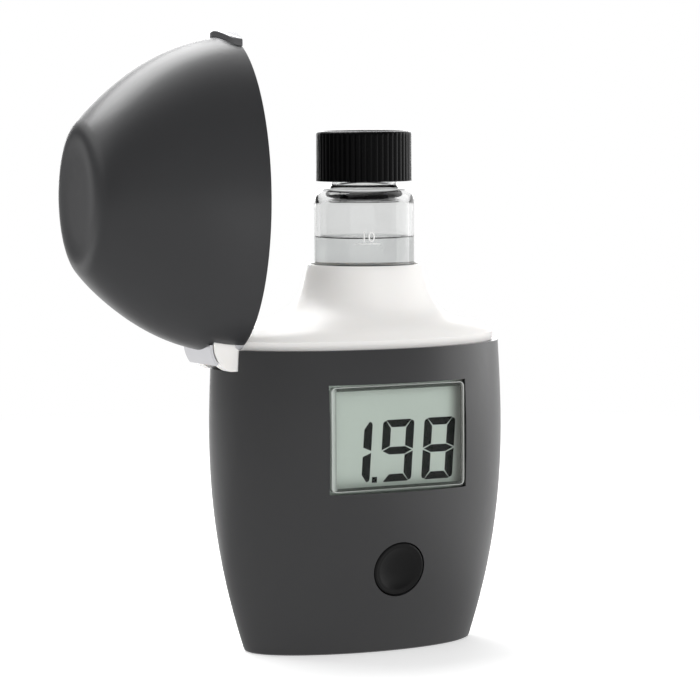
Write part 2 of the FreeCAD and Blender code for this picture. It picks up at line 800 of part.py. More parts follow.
holder_block = middle_box("holder_block", "holder_width", "holder_depth + 3", "holder_width",
                          "vial_offset", "well_outer - 3", "beam_level", centre_z=True)
lamp_form = turned("lamp_form", [
    ("0", "0"),
    ("lamp_radius", "0"),
    ("lamp_radius", "lamp_length - 1"),
    ("lamp_radius + lamp_rim", "lamp_length - 1"),
    ("lamp_radius + lamp_rim", "lamp_length"),
    ("0", "lamp_length"),
])
dress(lamp_form, "Fillet", "Radius", "lamp_radius * 0.9",
      lambda edge: edge.BoundBox.ZMax < 1e-4 and edge.BoundBox.XLength > 1)
place(lamp_form, "vial_offset", "well_radius + lamp_gap", "beam_level", along_y)
keep("led_lamp", lamp_form)
holder_well = cylinder("holder_well", "well_outer", "holder_width + 2",
                       "vial_offset", "0", "beam_level - holder_width / 2 - 1")
holder_bore = cylinder("holder_bore", "lamp_radius + lamp_fit", "holder_depth + 9",
                       "vial_offset", "4", "beam_level", along_y)
holder_step = cylinder("holder_step", "lamp_radius + lamp_rim + lamp_fit", "9", "vial_offset",
                       "well_radius + lamp_gap + lamp_length - 1 - lamp_fit", "beam_level", along_y)
keep("led_holder", cut_all("led_holder_part", holder_block, holder_well, holder_bore, holder_step))
keep("light_sensor", middle_box("sensor_block", "sensor_width", "sensor_wall", "sensor_width",
                                "vial_offset", "-board_back", "beam_level", centre_z=True))

# Battery, its contacts and the round cover in the base

battery = turned("battery_form", [
    ("0", "0"),
    ("battery_radius", "0"),
    ("battery_radius", "battery_length"),
    ("terminal_radius", "battery_length"),
    ("terminal_radius", "battery_length + terminal_rise"),
    ("0", "battery_length + terminal_rise"),
])
dress(battery, "Fillet", "Radius", "battery_edge", at_height(0.0))
keep("battery_cell", place(battery, "-battery_offset", "0", "battery_base"))
contact_level = "battery_base + battery_length + terminal_rise"
contact_arm = box("contact_arm", "contact_width", "board_back + terminal_radius", "contact_wall",
                  "-battery_offset - 0.2", "-board_back", contact_level)
contact_leg = box("contact_leg", "contact_width", "contact_wall", "contact_drop",
                  "-battery_offset - 0.2", "-board_back", f"{contact_level} - contact_drop + contact_wall")
keep("battery_contact", fuse("battery_contact_part", contact_arm, contact_leg))
groove_low = "cover_recess + cover_flange + ring_step"
cover_body = turned("cover_body", [
    ("0", "cover_recess"),
    ("cover_radius", "cover_recess"),
    ("cover_radius", "cover_recess + cover_flange"),
    ("cover_neck", "cover_recess + cover_flange"),
    ("cover_neck", groove_low),
    ("cover_neck - 2 * ring_radius", groove_low),
    ("cover_neck - 2 * ring_radius", f"{groove_low} + 2 * ring_radius"),
    ("cover_neck", f"{groove_low} + 2 * ring_radius"),
    ("cover_neck", "cover_top"),
    ("0", "cover_top"),
])
cover_slot = outline(cover_body, "coin_slot_outline", "XY_Plane", [
    ("-slot_length / 2", "-slot_width / 2"),
    ("slot_length / 2", "-slot_width / 2"),
    ("slot_length / 2", "slot_width / 2"),
    ("-slot_length / 2", "slot_width / 2"),
], "cover_recess")
coin_slot = cover_body.newObject("PartDesign::Pocket", "coin_slot")
coin_slot.Profile = cover_slot
coin_slot.setExpression("Length", link("slot_depth"))
coin_slot.Reversed = True
lug_outline = outline(cover_body, "lug_outline", "XY_Plane", [
    ("cover_neck - 1.2", "-lug_width / 2"),
    ("cover_neck + lug_reach", "-lug_width / 2"),
    ("cover_neck + lug_reach", "lug_width / 2"),
    ("cover_neck - 1.2", "lug_width / 2"),
], lug_level)
lug = cover_body.newObject("PartDesign::Pad", "cover_lug")
lug.Profile = lug_outline
lug.setExpression("Length", link(f"cover_top - ({lug_level})"))
doc.recompute()
lugs = cover_body.newObject("PartDesign::PolarPattern", "cover_lugs")
lugs.Originals = [lug]
lugs.Axis = (lug_outline, ["N_Axis"])
lugs.Angle = 360
lugs.Occurrences = 2
cover_body.Tip = lugs
doc.recompute()
keep("battery_cover", place(cover_body, "-battery_offset", "0", "0"))
ring = doc.addObject("Part::Torus", "ring_form")
bind(ring, Radius1="cover_neck - ring_radius + 0.01", Radius2="ring_radius")
keep("cover_ring", place(ring, "-battery_offset", "0", f"{groove_low} + ring_radius"))
keep("cover_contact", place(turned("contact_dome", [
    ("0", "dome_rise"),
    ("dome_radius * 0.55", "dome_rise * 0.8"),
    ("dome_radius * 0.91", "0"),
    ("dome_radius", "0"),
    ("dome_radius", "contact_wall"),
    ("dome_radius * 0.93", "contact_wall"),
    ("dome_radius * 0.55", "dome_rise * 0.8 + contact_wall"),
    ("0", "dome_rise + contact_wall"),
]), "-battery_offset", "0", "cover_top"))

# Lid, modelled closed, then swung open about the hinge

rim_points = [
    ("rim_level", "seam_length", "seam_depth"),
    ("rim_level + lid_low", "lid_low_length", "lid_low_depth"),
    ("rim_level + lid_mid", "lid_mid_length", "lid_mid_depth"),
    ("rim_level + lid_high", "lid_high_length", "lid_high_depth"),
    ("rim_level + lid_crown", "lid_crown_length", "lid_crown_depth"),
    ("rim_level + lid_rise", "lid_top_length", "lid_top_depth"),
]


def lid_layer(name, offset):
    return lofted(name, [
        (level, f"{length} + {offset}", f"{depth} + {offset}") for level, length, depth in rim_points
    ])


# Swings a closed piece to the open pose
def swing(item):
    item.Placement = Placement(Vector(), Rotation(Vector(0, -1, 0), driving_sizes["lid_angle"]))
    item.setExpression("Placement.Rotation.Angle", link("lid_angle"))
    item.setExpression("Placement.Base.x", link(
        "-hinge_offset + hinge_offset * cos(lid_angle) + (hinge_level) * sin(lid_angle)"))
    item.setExpression("Placement.Base.z", link(
        "(hinge_level) - (hinge_level) * cos(lid_angle) + hinge_offset * sin(lid_angle)"))
    return item


lid_form = lofted("lid_form", rim_points)
lid_hollow = lofted("lid_hollow", [
    ("rim_level - 1", "seam_length - lid_wall", "seam_depth - lid_wall"),
    ("rim_level + lid_low", "lid_low_length - lid_wall", "lid_low_depth - lid_wall"),
    ("rim_level + lid_mid", "lid_mid_length - lid_wall", "lid_mid_depth - lid_wall"),
    ("rim_level + lid_high - lid_wall", "lid_high_length - lid_wall + hollow_ease",
     "lid_high_depth - lid_wall + hollow_ease"),
    ("rim_level + lid_rise - lid_wall", "lid_crown_length - lid_wall", "lid_crown_depth - lid_wall"),
])
lip_hollow = oval_prism("lip_hollow", "rim_level - 1", "lip_rise + 1",
                        "seam_length - lip_wall", "seam_depth - lip_wall")


# A sector of a ring about the hinge, from an angle above +X, spanning the knuckles
def hinge_sector(name, radius, half_width, start, sweep):
    item = doc.addObject("Part::Cylinder", name)
    bind(item, Radius=radius, Height=f"2 * ({half_width})", Angle=sweep)
    turn = along_minus_y * Rotation(Vector(0, 0, 1), start)
    return place(item, "-hinge_offset", half_width, "hinge_level", turn)


cover_start = driving_sizes["cover_start"]
cover_outer_radius = "lid_notch + cover_wall"
cover_arc = hinge_sector("cover_arc", cover_outer_radius, "knuckle_half", cover_start, "cover_sweep")
cover_core = hinge_sector("cover_core", "lid_notch", "knuckle_half + 1", 0, "360")
hinge_cover = cut("hinge_cover_part", cover_arc, cover_core)
lid_knuckle = hinge_sector("lid_knuckle", "lid_knuckle_radius", "lid_knuckle_half", 0, "360")
lid_web = hinge_sector("lid_web", "lid_notch", "lid_knuckle_half", cover_start, "cover_sweep")
lid_notch_cut = hinge_sector("lid_notch_cut", "lid_notch", "notch_half + notch_margin", 0, "360")
cover_pocket = hinge_sector("cover_pocket", cover_outer_radius, "knuckle_half", cover_start, "cover_sweep")
lid_skin = cut_all("lid_skin", lid_form, lid_hollow, lip_hollow, lid_notch_cut, cover_pocket)
pin_bore = hinge_sector("pin_bore", "pin_radius + pin_gap", "knuckle_half", 0, "360")
lid_web_pad = hinge_sector("lid_web_pad", "lid_notch + web_wall", "lid_knuckle_half",
                           driving_sizes["web_start"], "web_sweep")
lid_solid = fuse("lid_solid", lid_skin, lid_knuckle, lid_web,
                 common("lid_web_root", lid_web_pad, lid_form))
keep("lid_shell", swing(cut("lid_shell_part", lid_solid, pin_bore)))
keep("hinge_cover", swing(hinge_cover))

clasp_disc = cylinder("clasp_disc", "clasp_radius", "seam_length", "seam_length / 2", "0",
                      "rim_level + clasp_rise - clasp_radius", along_x)
clasp_band = box("clasp_band", "seam_length", "2 * clasp_half", "clasp_rise + clasp_drop",
                 "seam_length / 2", "-clasp_half", "rim_level - clasp_drop")
clasp_skin = fuse("clasp_skin", lid_layer("clasp_outer", "clasp_wall"),
                  oval_prism("clasp_lip", "rim_level - clasp_drop", "clasp_drop",
                             "seam_length + clasp_wall", "seam_depth + clasp_wall"))
clasp_core = fuse("clasp_core", lid_layer("clasp_inner", "0"),
                  oval_prism("clasp_relief", "rim_level - clasp_drop - 1", "clasp_drop + 1",
                             "seam_length + clasp_clear", "seam_depth + clasp_clear"))
clasp_blank = common("clasp_blank", clasp_skin, common("clasp_outline", clasp_disc, clasp_band))
keep("lid_clasp", swing(cut("lid_clasp_part", clasp_blank, clasp_core)))
keep("hinge_pin", cylinder("pin_rod", "pin_radius", "2 * knuckle_half",
                           "-hinge_offset", "-knuckle_half", "hinge_level", along_y))

# Vial with its liquid, liner and ribbed cap, raised in the well


def on_vial(item, height="0"):
    return place(item, "vial_offset", "0", f"vial_level + {height}")


vial_body = turned("vial_body", [
    ("0", "0"),
    ("vial_radius", "0"),
    ("vial_radius", "vial_shoulder"),
    ("neck_radius", "vial_shoulder + neck_foot"),
    ("neck_radius", "neck_top"),
    ("neck_bore", "neck_top"),
    ("neck_bore", "vial_shoulder - throat_drop"),
    ("vial_radius - vial_wall", "vial_shoulder - shoulder_drop"),
    ("vial_radius - vial_wall", "vial_base"),
    ("0", "vial_base"),
])
dress(vial_body, "Fillet", "Radius", "shoulder_round",
      at_height(number("vial_shoulder"), number("vial_radius")))
dress(vial_body, "Fillet", "Radius", "heel_round", at_height(0.0))
keep("cuvette_glass", on_vial(vial_body))
keep("sample_liquid", on_vial(
    cylinder("liquid_form", "vial_radius - vial_wall", "liquid_top - vial_base"), "vial_base"))
keep("cap_liner", on_vial(cylinder("liner_disc", "liner_radius", "liner_wall"), "neck_top + liner_gap"))

cap_body = turned("cap_body", [
    ("0", "cap_height - cap_top_wall"),
    ("cap_bore", "cap_height - cap_top_wall"),
    ("cap_bore", "0"),
    ("cap_radius", "0"),
    ("cap_radius", "cap_height"),
    ("0", "cap_height"),
])
dress(cap_body, "Fillet", "Radius", "cap_round", at_height(number("cap_height"), number("cap_radius")))
rib_pitch = "3.1416 * cap_radius / cap_ribs"
rib_outline = outline(cap_body, "rib_outline", "XY_Plane", [
    ("cap_radius - rib_depth", "0"),
    ("cap_radius + 0.1", f"-({rib_pitch}) * 0.8"),
    ("cap_radius + 0.1", f"({rib_pitch}) * 0.8"),
])
groove = cap_body.newObject("PartDesign::Pocket", "cap_groove")
groove.Profile = rib_outline
groove.setExpression("Length", link("cap_height - cap_round"))
groove.Reversed = True
doc.recompute()
grooves = cap_body.newObject("PartDesign::PolarPattern", "cap_grooves")
grooves.Originals = [groove]
grooves.Axis = (rib_outline, ["N_Axis"])
grooves.Angle = 360
grooves.setExpression("Occurrences", link("cap_ribs"))
cap_body.Tip = grooves
keep("cuvette_cap", on_vial(cap_body, "cap_bottom"))

doc.recompute()

# Every object and every node must be sound before anything is written

faulty = [item.Name for item in doc.Objects if {"Invalid", "Error"} & set(item.State)]
if faulty:
    raise RuntimeError("objects in error: " + ", ".join(faulty))
for node, item in nodes.items():
    if item.Shape.isNull() or not item.Shape.isValid():
        raise RuntimeError(node + " has no valid shape")

os.makedirs("parts", exist_ok=True)
for node, item in nodes.items():
    item.Shape.exportStep(f"parts/{node}.step")
    print(f"{node}: {len(item.Shape.Solids)} solid(s), {item.Shape.Volume:.1f} mm3")
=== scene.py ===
import math

import bmesh
import bpy
from mathutils import Matrix, Vector


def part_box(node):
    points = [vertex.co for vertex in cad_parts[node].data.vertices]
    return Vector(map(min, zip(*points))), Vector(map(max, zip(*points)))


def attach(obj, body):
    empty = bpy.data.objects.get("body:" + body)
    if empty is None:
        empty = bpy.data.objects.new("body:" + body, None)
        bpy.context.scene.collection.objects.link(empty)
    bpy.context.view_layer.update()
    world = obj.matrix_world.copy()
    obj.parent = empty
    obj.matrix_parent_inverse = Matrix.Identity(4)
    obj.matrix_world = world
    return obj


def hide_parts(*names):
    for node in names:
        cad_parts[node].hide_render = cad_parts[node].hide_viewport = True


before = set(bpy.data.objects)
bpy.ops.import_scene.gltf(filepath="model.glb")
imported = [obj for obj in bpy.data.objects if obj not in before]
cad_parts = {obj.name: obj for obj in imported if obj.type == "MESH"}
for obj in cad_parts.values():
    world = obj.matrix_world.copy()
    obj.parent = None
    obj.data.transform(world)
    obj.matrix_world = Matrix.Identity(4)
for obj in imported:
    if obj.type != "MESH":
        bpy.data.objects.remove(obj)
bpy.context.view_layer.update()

mm = 0.001
print("frame loaded:", len(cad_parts), "nodes")


# Camera: aim is the point it looks at, sideways of the base's centre and above it
cameraSetup = {
    "azimuth": -28.11,
    "elevation": 4.48,
    "distance": 651.3 * mm,
    "aimSide": -1.14 * mm,
    "aimHeight": 54.72 * mm,
    "roll": -0.30,
    "lens": 180.96,
    "sensor": 36.0,
}


def makeCamera(setup):
    azimuth = math.radians(setup["azimuth"])
    elevation = math.radians(setup["elevation"])
    roll = math.radians(setup["roll"])
    back = Vector((math.sin(azimuth) * math.cos(elevation),
                   -math.cos(azimuth) * math.cos(elevation),
                   math.sin(elevation)))
    right = Vector((math.cos(azimuth), math.sin(azimuth), 0))
    up = back.cross(right)
    rolledRight = math.cos(roll) * right + math.sin(roll) * up
    rolledUp = back.cross(rolledRight)
    place = right * setup["aimSide"] + Vector((0, 0, setup["aimHeight"])) + back * setup["distance"]
    data = bpy.data.cameras.new("camera")
    data.lens = setup["lens"]
    data.sensor_width = setup["sensor"]
    data.clip_start = 0.01
    data.clip_end = 20
    camera = bpy.data.objects.new("camera", data)
    bpy.context.scene.collection.objects.link(camera)
    turn = Matrix((rolledRight, rolledUp, back)).transposed().to_4x4()
    camera.matrix_world = Matrix.Translation(place) @ turn
    bpy.context.scene.camera = camera
    return camera


makeCamera(cameraSetup)


# Finishes. A signal is a number that varies over a surface; arithmetic on it adds Math nodes.
class Signal:
    def __init__(self, finish, socket):
        self.finish = finish
        self.socket = socket

    def maths(self, operation, first, second):
        return self.finish.maths(operation, first, second)

    def __add__(self, other):
        return self.maths("ADD", self, other)

    def __sub__(self, other):
        return self.maths("SUBTRACT", self, other)

    def __rsub__(self, other):
        return self.maths("SUBTRACT", other, self)

    def __mul__(self, other):
        return self.maths("MULTIPLY", self, other)

    def __truediv__(self, other):
        return self.maths("DIVIDE", self, other)

    def __pow__(self, other):
        return self.maths("POWER", self, other)

    __radd__ = __add__
    __rmul__ = __mul__


class Finish:
    def __init__(self, name, world=None):
        self.material = world or bpy.data.materials.new(name)
        self.material.use_nodes = True
        self.tree = self.material.node_tree
        self.tree.nodes.clear()
        self.output = "ShaderNodeOutputWorld" if world else "ShaderNodeOutputMaterial"
        self.place = self.node("ShaderNodeTexCoord", output="Generated" if world else "Object")

    # Any node: settings first, then the values or links of its sockets
    def node(self, kind, sockets=None, settings=None, output=0):
        made = self.tree.nodes.new(kind)
        for name, value in (settings or {}).items():
            if name == "stops":
                self.setStops(made.color_ramp, value)
            else:
                setattr(made, name, value)
        for key, value in (sockets or {}).items():
            if isinstance(value, Signal):
                self.tree.links.new(value.socket, made.inputs[key])
            else:
                made.inputs[key].default_value = value
        return Signal(self, made.outputs[output] if len(made.outputs) else None)

    def maths(self, operation, first, second):
        return self.node("ShaderNodeMath", {0: first, 1: second}, {"operation": operation})

    def setStops(self, ramp, stops):
        while len(ramp.elements) < len(stops):
            ramp.elements.new(0.5)
        for element, (position, colour) in zip(ramp.elements, stops):
            element.position = position
            element.color = (*colour, 1)

    def noise(self, scale, detail=2.0, stretch=None):
        place = self.place
        if stretch:
            place = self.node("ShaderNodeMapping", {"Vector": place, "Scale": stretch})
        return self.node("ShaderNodeTexNoise", {"Vector": place, "Scale": scale, "Detail": detail})

    # 0 below the first value, 1 above the second, smooth between
    def step(self, signal, low, high):
        sockets = {"Value": signal, "From Min": low, "From Max": high}
        return self.node("ShaderNodeMapRange", sockets, {"interpolation_type": "SMOOTHSTEP"})

    def axis(self, letter):
        return self.node("ShaderNodeSeparateXYZ", {0: self.place}, output=letter)

    def blendColour(self, factor, first, second):
        sockets = {0: factor, 6: colourOf(first), 7: colourOf(second)}
        return self.node("ShaderNodeMix", sockets, {"data_type": "RGBA"}, output=2)

    def bump(self, height, distance, strength=1.0, under=None):
        sockets = {"Height": height, "Distance": distance, "Strength": strength}
        if under:
            sockets["Normal"] = under
        return self.node("ShaderNodeBump", sockets)

    def principled(self, values):
        return self.node("ShaderNodeBsdfPrincipled", {
            name: colourOf(value) if name.endswith(("Color", "Tint")) else value
            for name, value in values.items()
        })

    def done(self, shader):
        self.node(self.output, {"Surface": shader})
        return self.material


def colourOf(value):
    return value if isinstance(value, Signal) else (*value, 1)


def paint(target, material):
    target.data.materials.clear()
    target.data.materials.append(material)
    return target


# Soft-touch plastic: fine grain, a slow drift in tone and a little polish where it is handled
def softTouch(name, tone):
    finish = Finish(name)
    cloud = finish.noise(45, 3)
    grain = finish.noise(5200, 2)
    speck = finish.step(finish.noise(2600, 1), 0.62, 0.72)
    rubbed = finish.step(finish.noise(170, 4), 0.58, 0.74)
    cloudy = cloud * 0.7 + grain * 0.25
    colour = finish.blendColour(cloudy, [c * 0.90 for c in tone], [c * 1.12 for c in tone])
    fineBump = finish.bump(grain + speck * 0.6, 0.000012, 0.35)
    return finish.done(finish.principled({
        "Base Color": colour,
        "Roughness": 0.38 + cloud * 0.05 - rubbed * 0.035,
        "Specular IOR Level": 0.5,
        "Coat Weight": 0.35,
        "Coat Roughness": 0.28,
        "Normal": fineBump,
    }))


# Moulded plastic: even colour with faint flow marks and a shallow skin texture
def moulded(name, tone, roughness, grainSize=3000, depth=0.000006, drift=0.04, gloss=0.5):
    finish = Finish(name)
    cloud = finish.noise(60, 3)
    grain = finish.noise(grainSize, 2)
    darker, lighter = [c * (1 - drift) for c in tone], [min(1, c * (1 + drift)) for c in tone]
    colour = finish.blendColour(cloud, darker, lighter)
    return finish.done(finish.principled({
        "Base Color": colour,
        "Roughness": roughness - 0.03 + cloud * 0.06,
        "Specular IOR Level": gloss,
        "Normal": finish.bump(grain, depth, 0.4),
    }))


# White housing: satin, slightly translucent, with a faint random drift in tone
def whiteSatin(name, tone):
    finish = Finish(name)
    cloud = finish.noise(38, 3)
    grain = finish.noise(4200, 2)
    colour = finish.blendColour(cloud, [c * 0.975 for c in tone], tone)
    return finish.done(finish.principled({
        "Base Color": colour,
        "Roughness": 0.36 + cloud * 0.06,
        "Subsurface Weight": 0.12,
        "Subsurface Radius": (0.0012, 0.0010, 0.0008),
        "Subsurface Scale": 1.0,
        "Normal": finish.bump(grain, 0.000006, 0.3),
    }))


# Bright metal: polished or ground, with fine lines along one axis
def brightMetal(name, tone, roughness, lines=(1, 1, 1), wear=0.05):
    finish = Finish(name)
    streak = finish.noise(1500, 3, stretch=lines)
    smear = finish.noise(220, 3)
    colour = finish.blendColour(smear, [c * 0.92 for c in tone], tone)
    return finish.done(finish.principled({
        "Base Color": colour,
        "Metallic": 1.0,
        "Roughness": roughness + streak * wear + smear * 0.03,
        "Normal": finish.bump(streak, 0.000002, 0.25),
    }))


# Clear solid: glass, acrylic or liquid, with faint waves in its surface
def clearSolid(name, tone, ior, roughness=0.0, waves=0.0000015):
    finish = Finish(name)
    drift = finish.noise(90, 2)
    smudge = finish.step(finish.noise(260, 4), 0.60, 0.80)
    return finish.done(finish.principled({
        "Base Color": finish.blendColour(drift, [c * 0.985 for c in tone], tone),
        "Roughness": roughness + smudge * 0.02,
        "IOR": ior,
        "Transmission Weight": 1.0,
        "Normal": finish.bump(finish.noise(420, 1), waves, 0.5),
    }))


# Thin clear sheet that lets light through to what lies under it
def clearSheet(name, gloss):
    finish = Finish(name)
    smudge = finish.step(finish.noise(300, 4), 0.55, 0.8)
    front = finish.node("ShaderNodeBsdfGlossy", {"Color": (1, 1, 1, 1), "Roughness": 0.03 + smudge * 0.05})
    through = finish.node("ShaderNodeBsdfTransparent", {"Color": (0.985, 0.995, 0.99, 1)})
    share = finish.node("ShaderNodeFresnel", {"IOR": gloss})
    return finish.done(finish.node("ShaderNodeMixShader", {0: share, 1: through, 2: front}))


# Display glass: grey-green, shaded where the right edge of the window throws it into shadow
def displayPane(name, tone, shade, start, end):
    finish = Finish(name)
    cloud = finish.noise(70, 2)
    plain = finish.blendColour(cloud, [c * 0.975 for c in tone], tone)
    edge = finish.step(finish.axis("X"), start, end)
    return finish.done(finish.principled({
        "Base Color": finish.blendColour(edge, plain, shade),
        "Roughness": 0.5 + cloud * 0.05,
        "Normal": finish.bump(finish.noise(5200, 2), 0.000003, 0.4),
    }))


# Cut edge of the clear window, with painted light: a painted highlight at its left end, painted shade along
# the top and bottom and a lighter painted shade at its right end, standing in for the light its bevels
# refract
def windowCut(name, leftHighlightTone, rightShadeTone, levelShadeTone, reach, soft):
    finish = Finish(name)
    across = finish.axis("X")
    # Painted shade across the middle and towards the right end, painted highlight at the left end
    toRight = finish.blendColour(finish.step(across, reach - soft, reach), levelShadeTone, rightShadeTone)
    tone = finish.blendColour(finish.step(across, -reach, soft - reach), leftHighlightTone, toRight)
    haze = finish.noise(800, 2)
    body = finish.principled({
        "Base Color": tone,
        "Roughness": 0.22 + haze * 0.08,
        "Normal": finish.bump(haze, 0.000004, 0.3),
    })
    through = finish.node("ShaderNodeBsdfTransparent", {"Color": (0.95, 0.97, 0.95, 1)})
    return finish.done(finish.node("ShaderNodeMixShader", {0: 0.78, 1: through, 2: body}))


# Foil sleeve of the cell: plain below, with a lighter band above the given height
def foilSleeve(name, tone, bandFoot):
    finish = Finish(name)
    band = finish.step(finish.axis("Z"), bandFoot, bandFoot + 0.4 * mm)
    crinkle = finish.noise(700, 3)
    return finish.done(finish.principled({
        "Base Color": finish.blendColour(band, tone, tones["foilBand"]),
        "Metallic": 0.6 + band * 0.3,
        "Roughness": 0.3 + crinkle * 0.08,
        "Normal": finish.bump(crinkle, 0.000008, 0.4),
    }))


# Circuit board: solder mask over traces that run as faint raised lanes
def solderMask(name, tone):
    finish = Finish(name)
    waves = {"Vector": finish.place, "Scale": 330, "Distortion": 3.0, "Detail": 1.0}
    lanes = finish.node("ShaderNodeTexWave", waves, {"wave_type": "BANDS", "bands_direction": "Z"})
    trace = finish.step(lanes, 0.72, 0.8)
    weave = finish.noise(2600, 1)
    return finish.done(finish.principled({
        "Base Color": finish.blendColour(trace, tone, [c * 1.7 + 0.01 for c in tone]),
        "Roughness": 0.34 + weave * 0.08,
        "Normal": finish.bump(trace + weave * 0.15, 0.00002, 0.5),
    }))


tones = {
    "shell": (0.027, 0.027, 0.0283),
    "lid": (0.0225, 0.0228, 0.0245),
    "white": (0.86, 0.845, 0.825),
    "seal": (0.80, 0.79, 0.765),
    "display": (0.535, 0.59, 0.54),
    "blackGloss": (0.0025, 0.0025, 0.0027),
    "blackSatin": (0.020, 0.020, 0.021),
    "chrome": (0.62, 0.62, 0.64),
    "steel": (0.58, 0.58, 0.60),
    "nickel": (0.66, 0.64, 0.60),
    "board": (0.015, 0.115, 0.045),
    "foilBand": (0.62, 0.60, 0.56),
}
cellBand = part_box("battery_cell")[1].z - 7.0 * mm
shellGrey = softTouch("shellGrey", tones["shell"])
lidGrey = softTouch("lidGrey", tones["lid"])
housingWhite = whiteSatin("housingWhite", tones["white"])
sealWhite = moulded("sealWhite", tones["seal"], 0.55, 2200, 0.00001)
windowClear = clearSheet("windowClear", 1.22)
displayGrey = displayPane("displayGrey", tones["display"], (0.25, 0.255, 0.235), 11.2 * mm, 13.8 * mm)
frameBlack = moulded("frameBlack", tones["blackSatin"], 0.5)
stripRubber = moulded("stripRubber", (0.05, 0.05, 0.055), 0.6, 1800, 0.00001)
boardGreen = solderMask("boardGreen", tones["board"])
screwSteel = brightMetal("screwSteel", tones["steel"], 0.28)
chipBlack = moulded("chipBlack", (0.018, 0.018, 0.019), 0.55, 2600, 0.00001)
plungerBlack = moulded("plungerBlack", (0.03, 0.03, 0.03), 0.45)
buttonBlack = moulded("buttonBlack", (0.004, 0.004, 0.0041), 0.34, 3600, 0.000006, gloss=0.28)
lampClear = clearSolid("lampClear", (0.95, 0.95, 0.95), 1.5)
holderBlack = moulded("holderBlack", (0.015, 0.015, 0.015), 0.55)
sensorBlack = moulded("sensorBlack", (0.02, 0.02, 0.025), 0.3)
batteryFoil = foilSleeve("batteryFoil", (0.16, 0.16, 0.17), cellBand)
contactNickel = brightMetal("contactNickel", tones["nickel"], 0.25)
coverGrey = softTouch("coverGrey", [c * 0.9 for c in tones["shell"]])
ringRubber = moulded("ringRubber", (0.02, 0.02, 0.02), 0.6, 1600, 0.00001)
trimChrome = brightMetal("trimChrome", tones["chrome"], 0.10, wear=0.03)
pinSteel = brightMetal("pinSteel", tones["steel"], 0.2, lines=(1, 0.02, 1))
vialGlass = clearSolid("vialGlass", (0.86, 0.865, 0.862), 1.50)
sampleWater = clearSolid("sampleWater", (0.84, 0.85, 0.85), 1.333, waves=0)
linerWhite = moulded("linerWhite", (0.78, 0.78, 0.76), 0.6, 1500, 0.00002)
capBlack = moulded("capBlack", tones["blackGloss"], 0.20, 2600, 0.000003, gloss=0.10)

nodeFinishes = {
    "body_shell": shellGrey, "top_housing": housingWhite, "light_seal": sealWhite,
    "lcd_window": windowClear, "lcd_glass": displayGrey, "lcd_frame": frameBlack,
    "zebra_strips": stripRubber, "circuit_board": boardGreen, "board_screws": screwSteel,
    "controller_chip": chipBlack, "switch_body": chipBlack, "switch_plunger": plungerBlack,
    "button_cap": buttonBlack, "led_lamp": lampClear, "led_holder": holderBlack,
    "light_sensor": sensorBlack, "battery_cell": batteryFoil, "battery_contact": contactNickel,
    "battery_cover": coverGrey, "cover_ring": ringRubber, "cover_contact": contactNickel,
    "lid_shell": lidGrey, "hinge_cover": trimChrome, "lid_clasp": trimChrome, "hinge_pin": pinSteel,
    "cuvette_glass": vialGlass, "sample_liquid": sampleWater, "cap_liner": linerWhite,
    "cuvette_cap": capBlack,
}
for nodeName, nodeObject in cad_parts.items():
    paint(nodeObject, nodeFinishes[nodeName])
print("finishes on", len(nodeFinishes), "nodes")


# Modelling helpers
def deselectAll():
    if bpy.context.object and bpy.context.object.mode != "OBJECT":
        bpy.ops.object.mode_set(mode="OBJECT")
    bpy.ops.object.select_all(action="DESELECT")


def named(name):
    piece = bpy.context.object
    piece.name = name
    piece.data.name = name
    return piece


# Leaves the piece at the origin, unturned, with its place in its mesh
def settle(piece):
    deselectAll()
    piece.select_set(True)
    bpy.context.view_layer.objects.active = piece
    bpy.ops.object.transform_apply(location=True, rotation=True, scale=True)
    return piece


# Selects, in edit mode, the faces, edges or vertices whose middle passes the test
def pick(piece, kind, test):
    mesh = bmesh.from_edit_mesh(piece.data)
    bpy.ops.mesh.select_mode(type=kind)
    bpy.ops.mesh.select_all(action="DESELECT")
    if kind == "VERT":
        for vertex in mesh.verts:
            vertex.select_set(test(vertex.co, vertex))
    elif kind == "EDGE":
        for edge in mesh.edges:
            edge.select_set(test((edge.verts[0].co + edge.verts[1].co) / 2, edge))
    else:
        for face in mesh.faces:
            face.select_set(test(face.calc_center_median(), face))
    mesh.select_flush_mode()
    bmesh.update_edit_mesh(piece.data)


# Cuts the whole mesh by a plane square to an axis, and clears one side where asked
def cutAcross(axis, level, **clear):
    place, facing = Vector(), Vector()
    place[axis] = level
    facing[axis] = 1
    bpy.ops.mesh.select_all(action="SELECT")
    bpy.ops.mesh.bisect(plane_co=place, plane_no=facing, threshold=0.001 * mm, **clear)


def smooth(piece, angle=35):
    deselectAll()
    piece.select_set(True)
    bpy.context.view_layer.objects.active = piece
    bpy.ops.object.shade_smooth_by_angle(angle=math.radians(angle))
    return piece


def applyModifiers(piece):
    deselectAll()
    piece.select_set(True)
    bpy.context.view_layer.objects.active = piece
    for modifier in list(piece.modifiers):
        bpy.ops.object.modifier_apply(modifier=modifier.name)
    return piece


# Turns a profile of (radius, height) points about an upright axis through the centre
def spun(name, profile, centre, steps):
    deselectAll()
    bpy.ops.mesh.primitive_plane_add(size=mm, location=(0, 0, 0))
    piece = named(name)
    bpy.ops.object.mode_set(mode="EDIT")
    bpy.ops.mesh.select_mode(type="VERT")
    bpy.ops.mesh.select_all(action="SELECT")
    bpy.ops.mesh.merge(type="CENTER")
    points = [Vector((centre[0] + radius, centre[1], centre[2] + height)) for radius, height in profile]
    bpy.ops.transform.translate(value=points[0])
    for before, after in zip(points, points[1:]):
        bpy.ops.mesh.extrude_region_move(TRANSFORM_OT_translate={"value": after - before})
    bpy.ops.mesh.select_all(action="SELECT")
    bpy.ops.mesh.spin(steps=steps, angle=math.tau, center=centre, axis=(0, 0, 1))
    bpy.ops.mesh.select_all(action="SELECT")
    bpy.ops.mesh.remove_doubles(threshold=0.002 * mm)
    bpy.ops.mesh.normals_make_consistent(inside=False)
    bpy.ops.object.mode_set(mode="OBJECT")
    return smooth(piece)


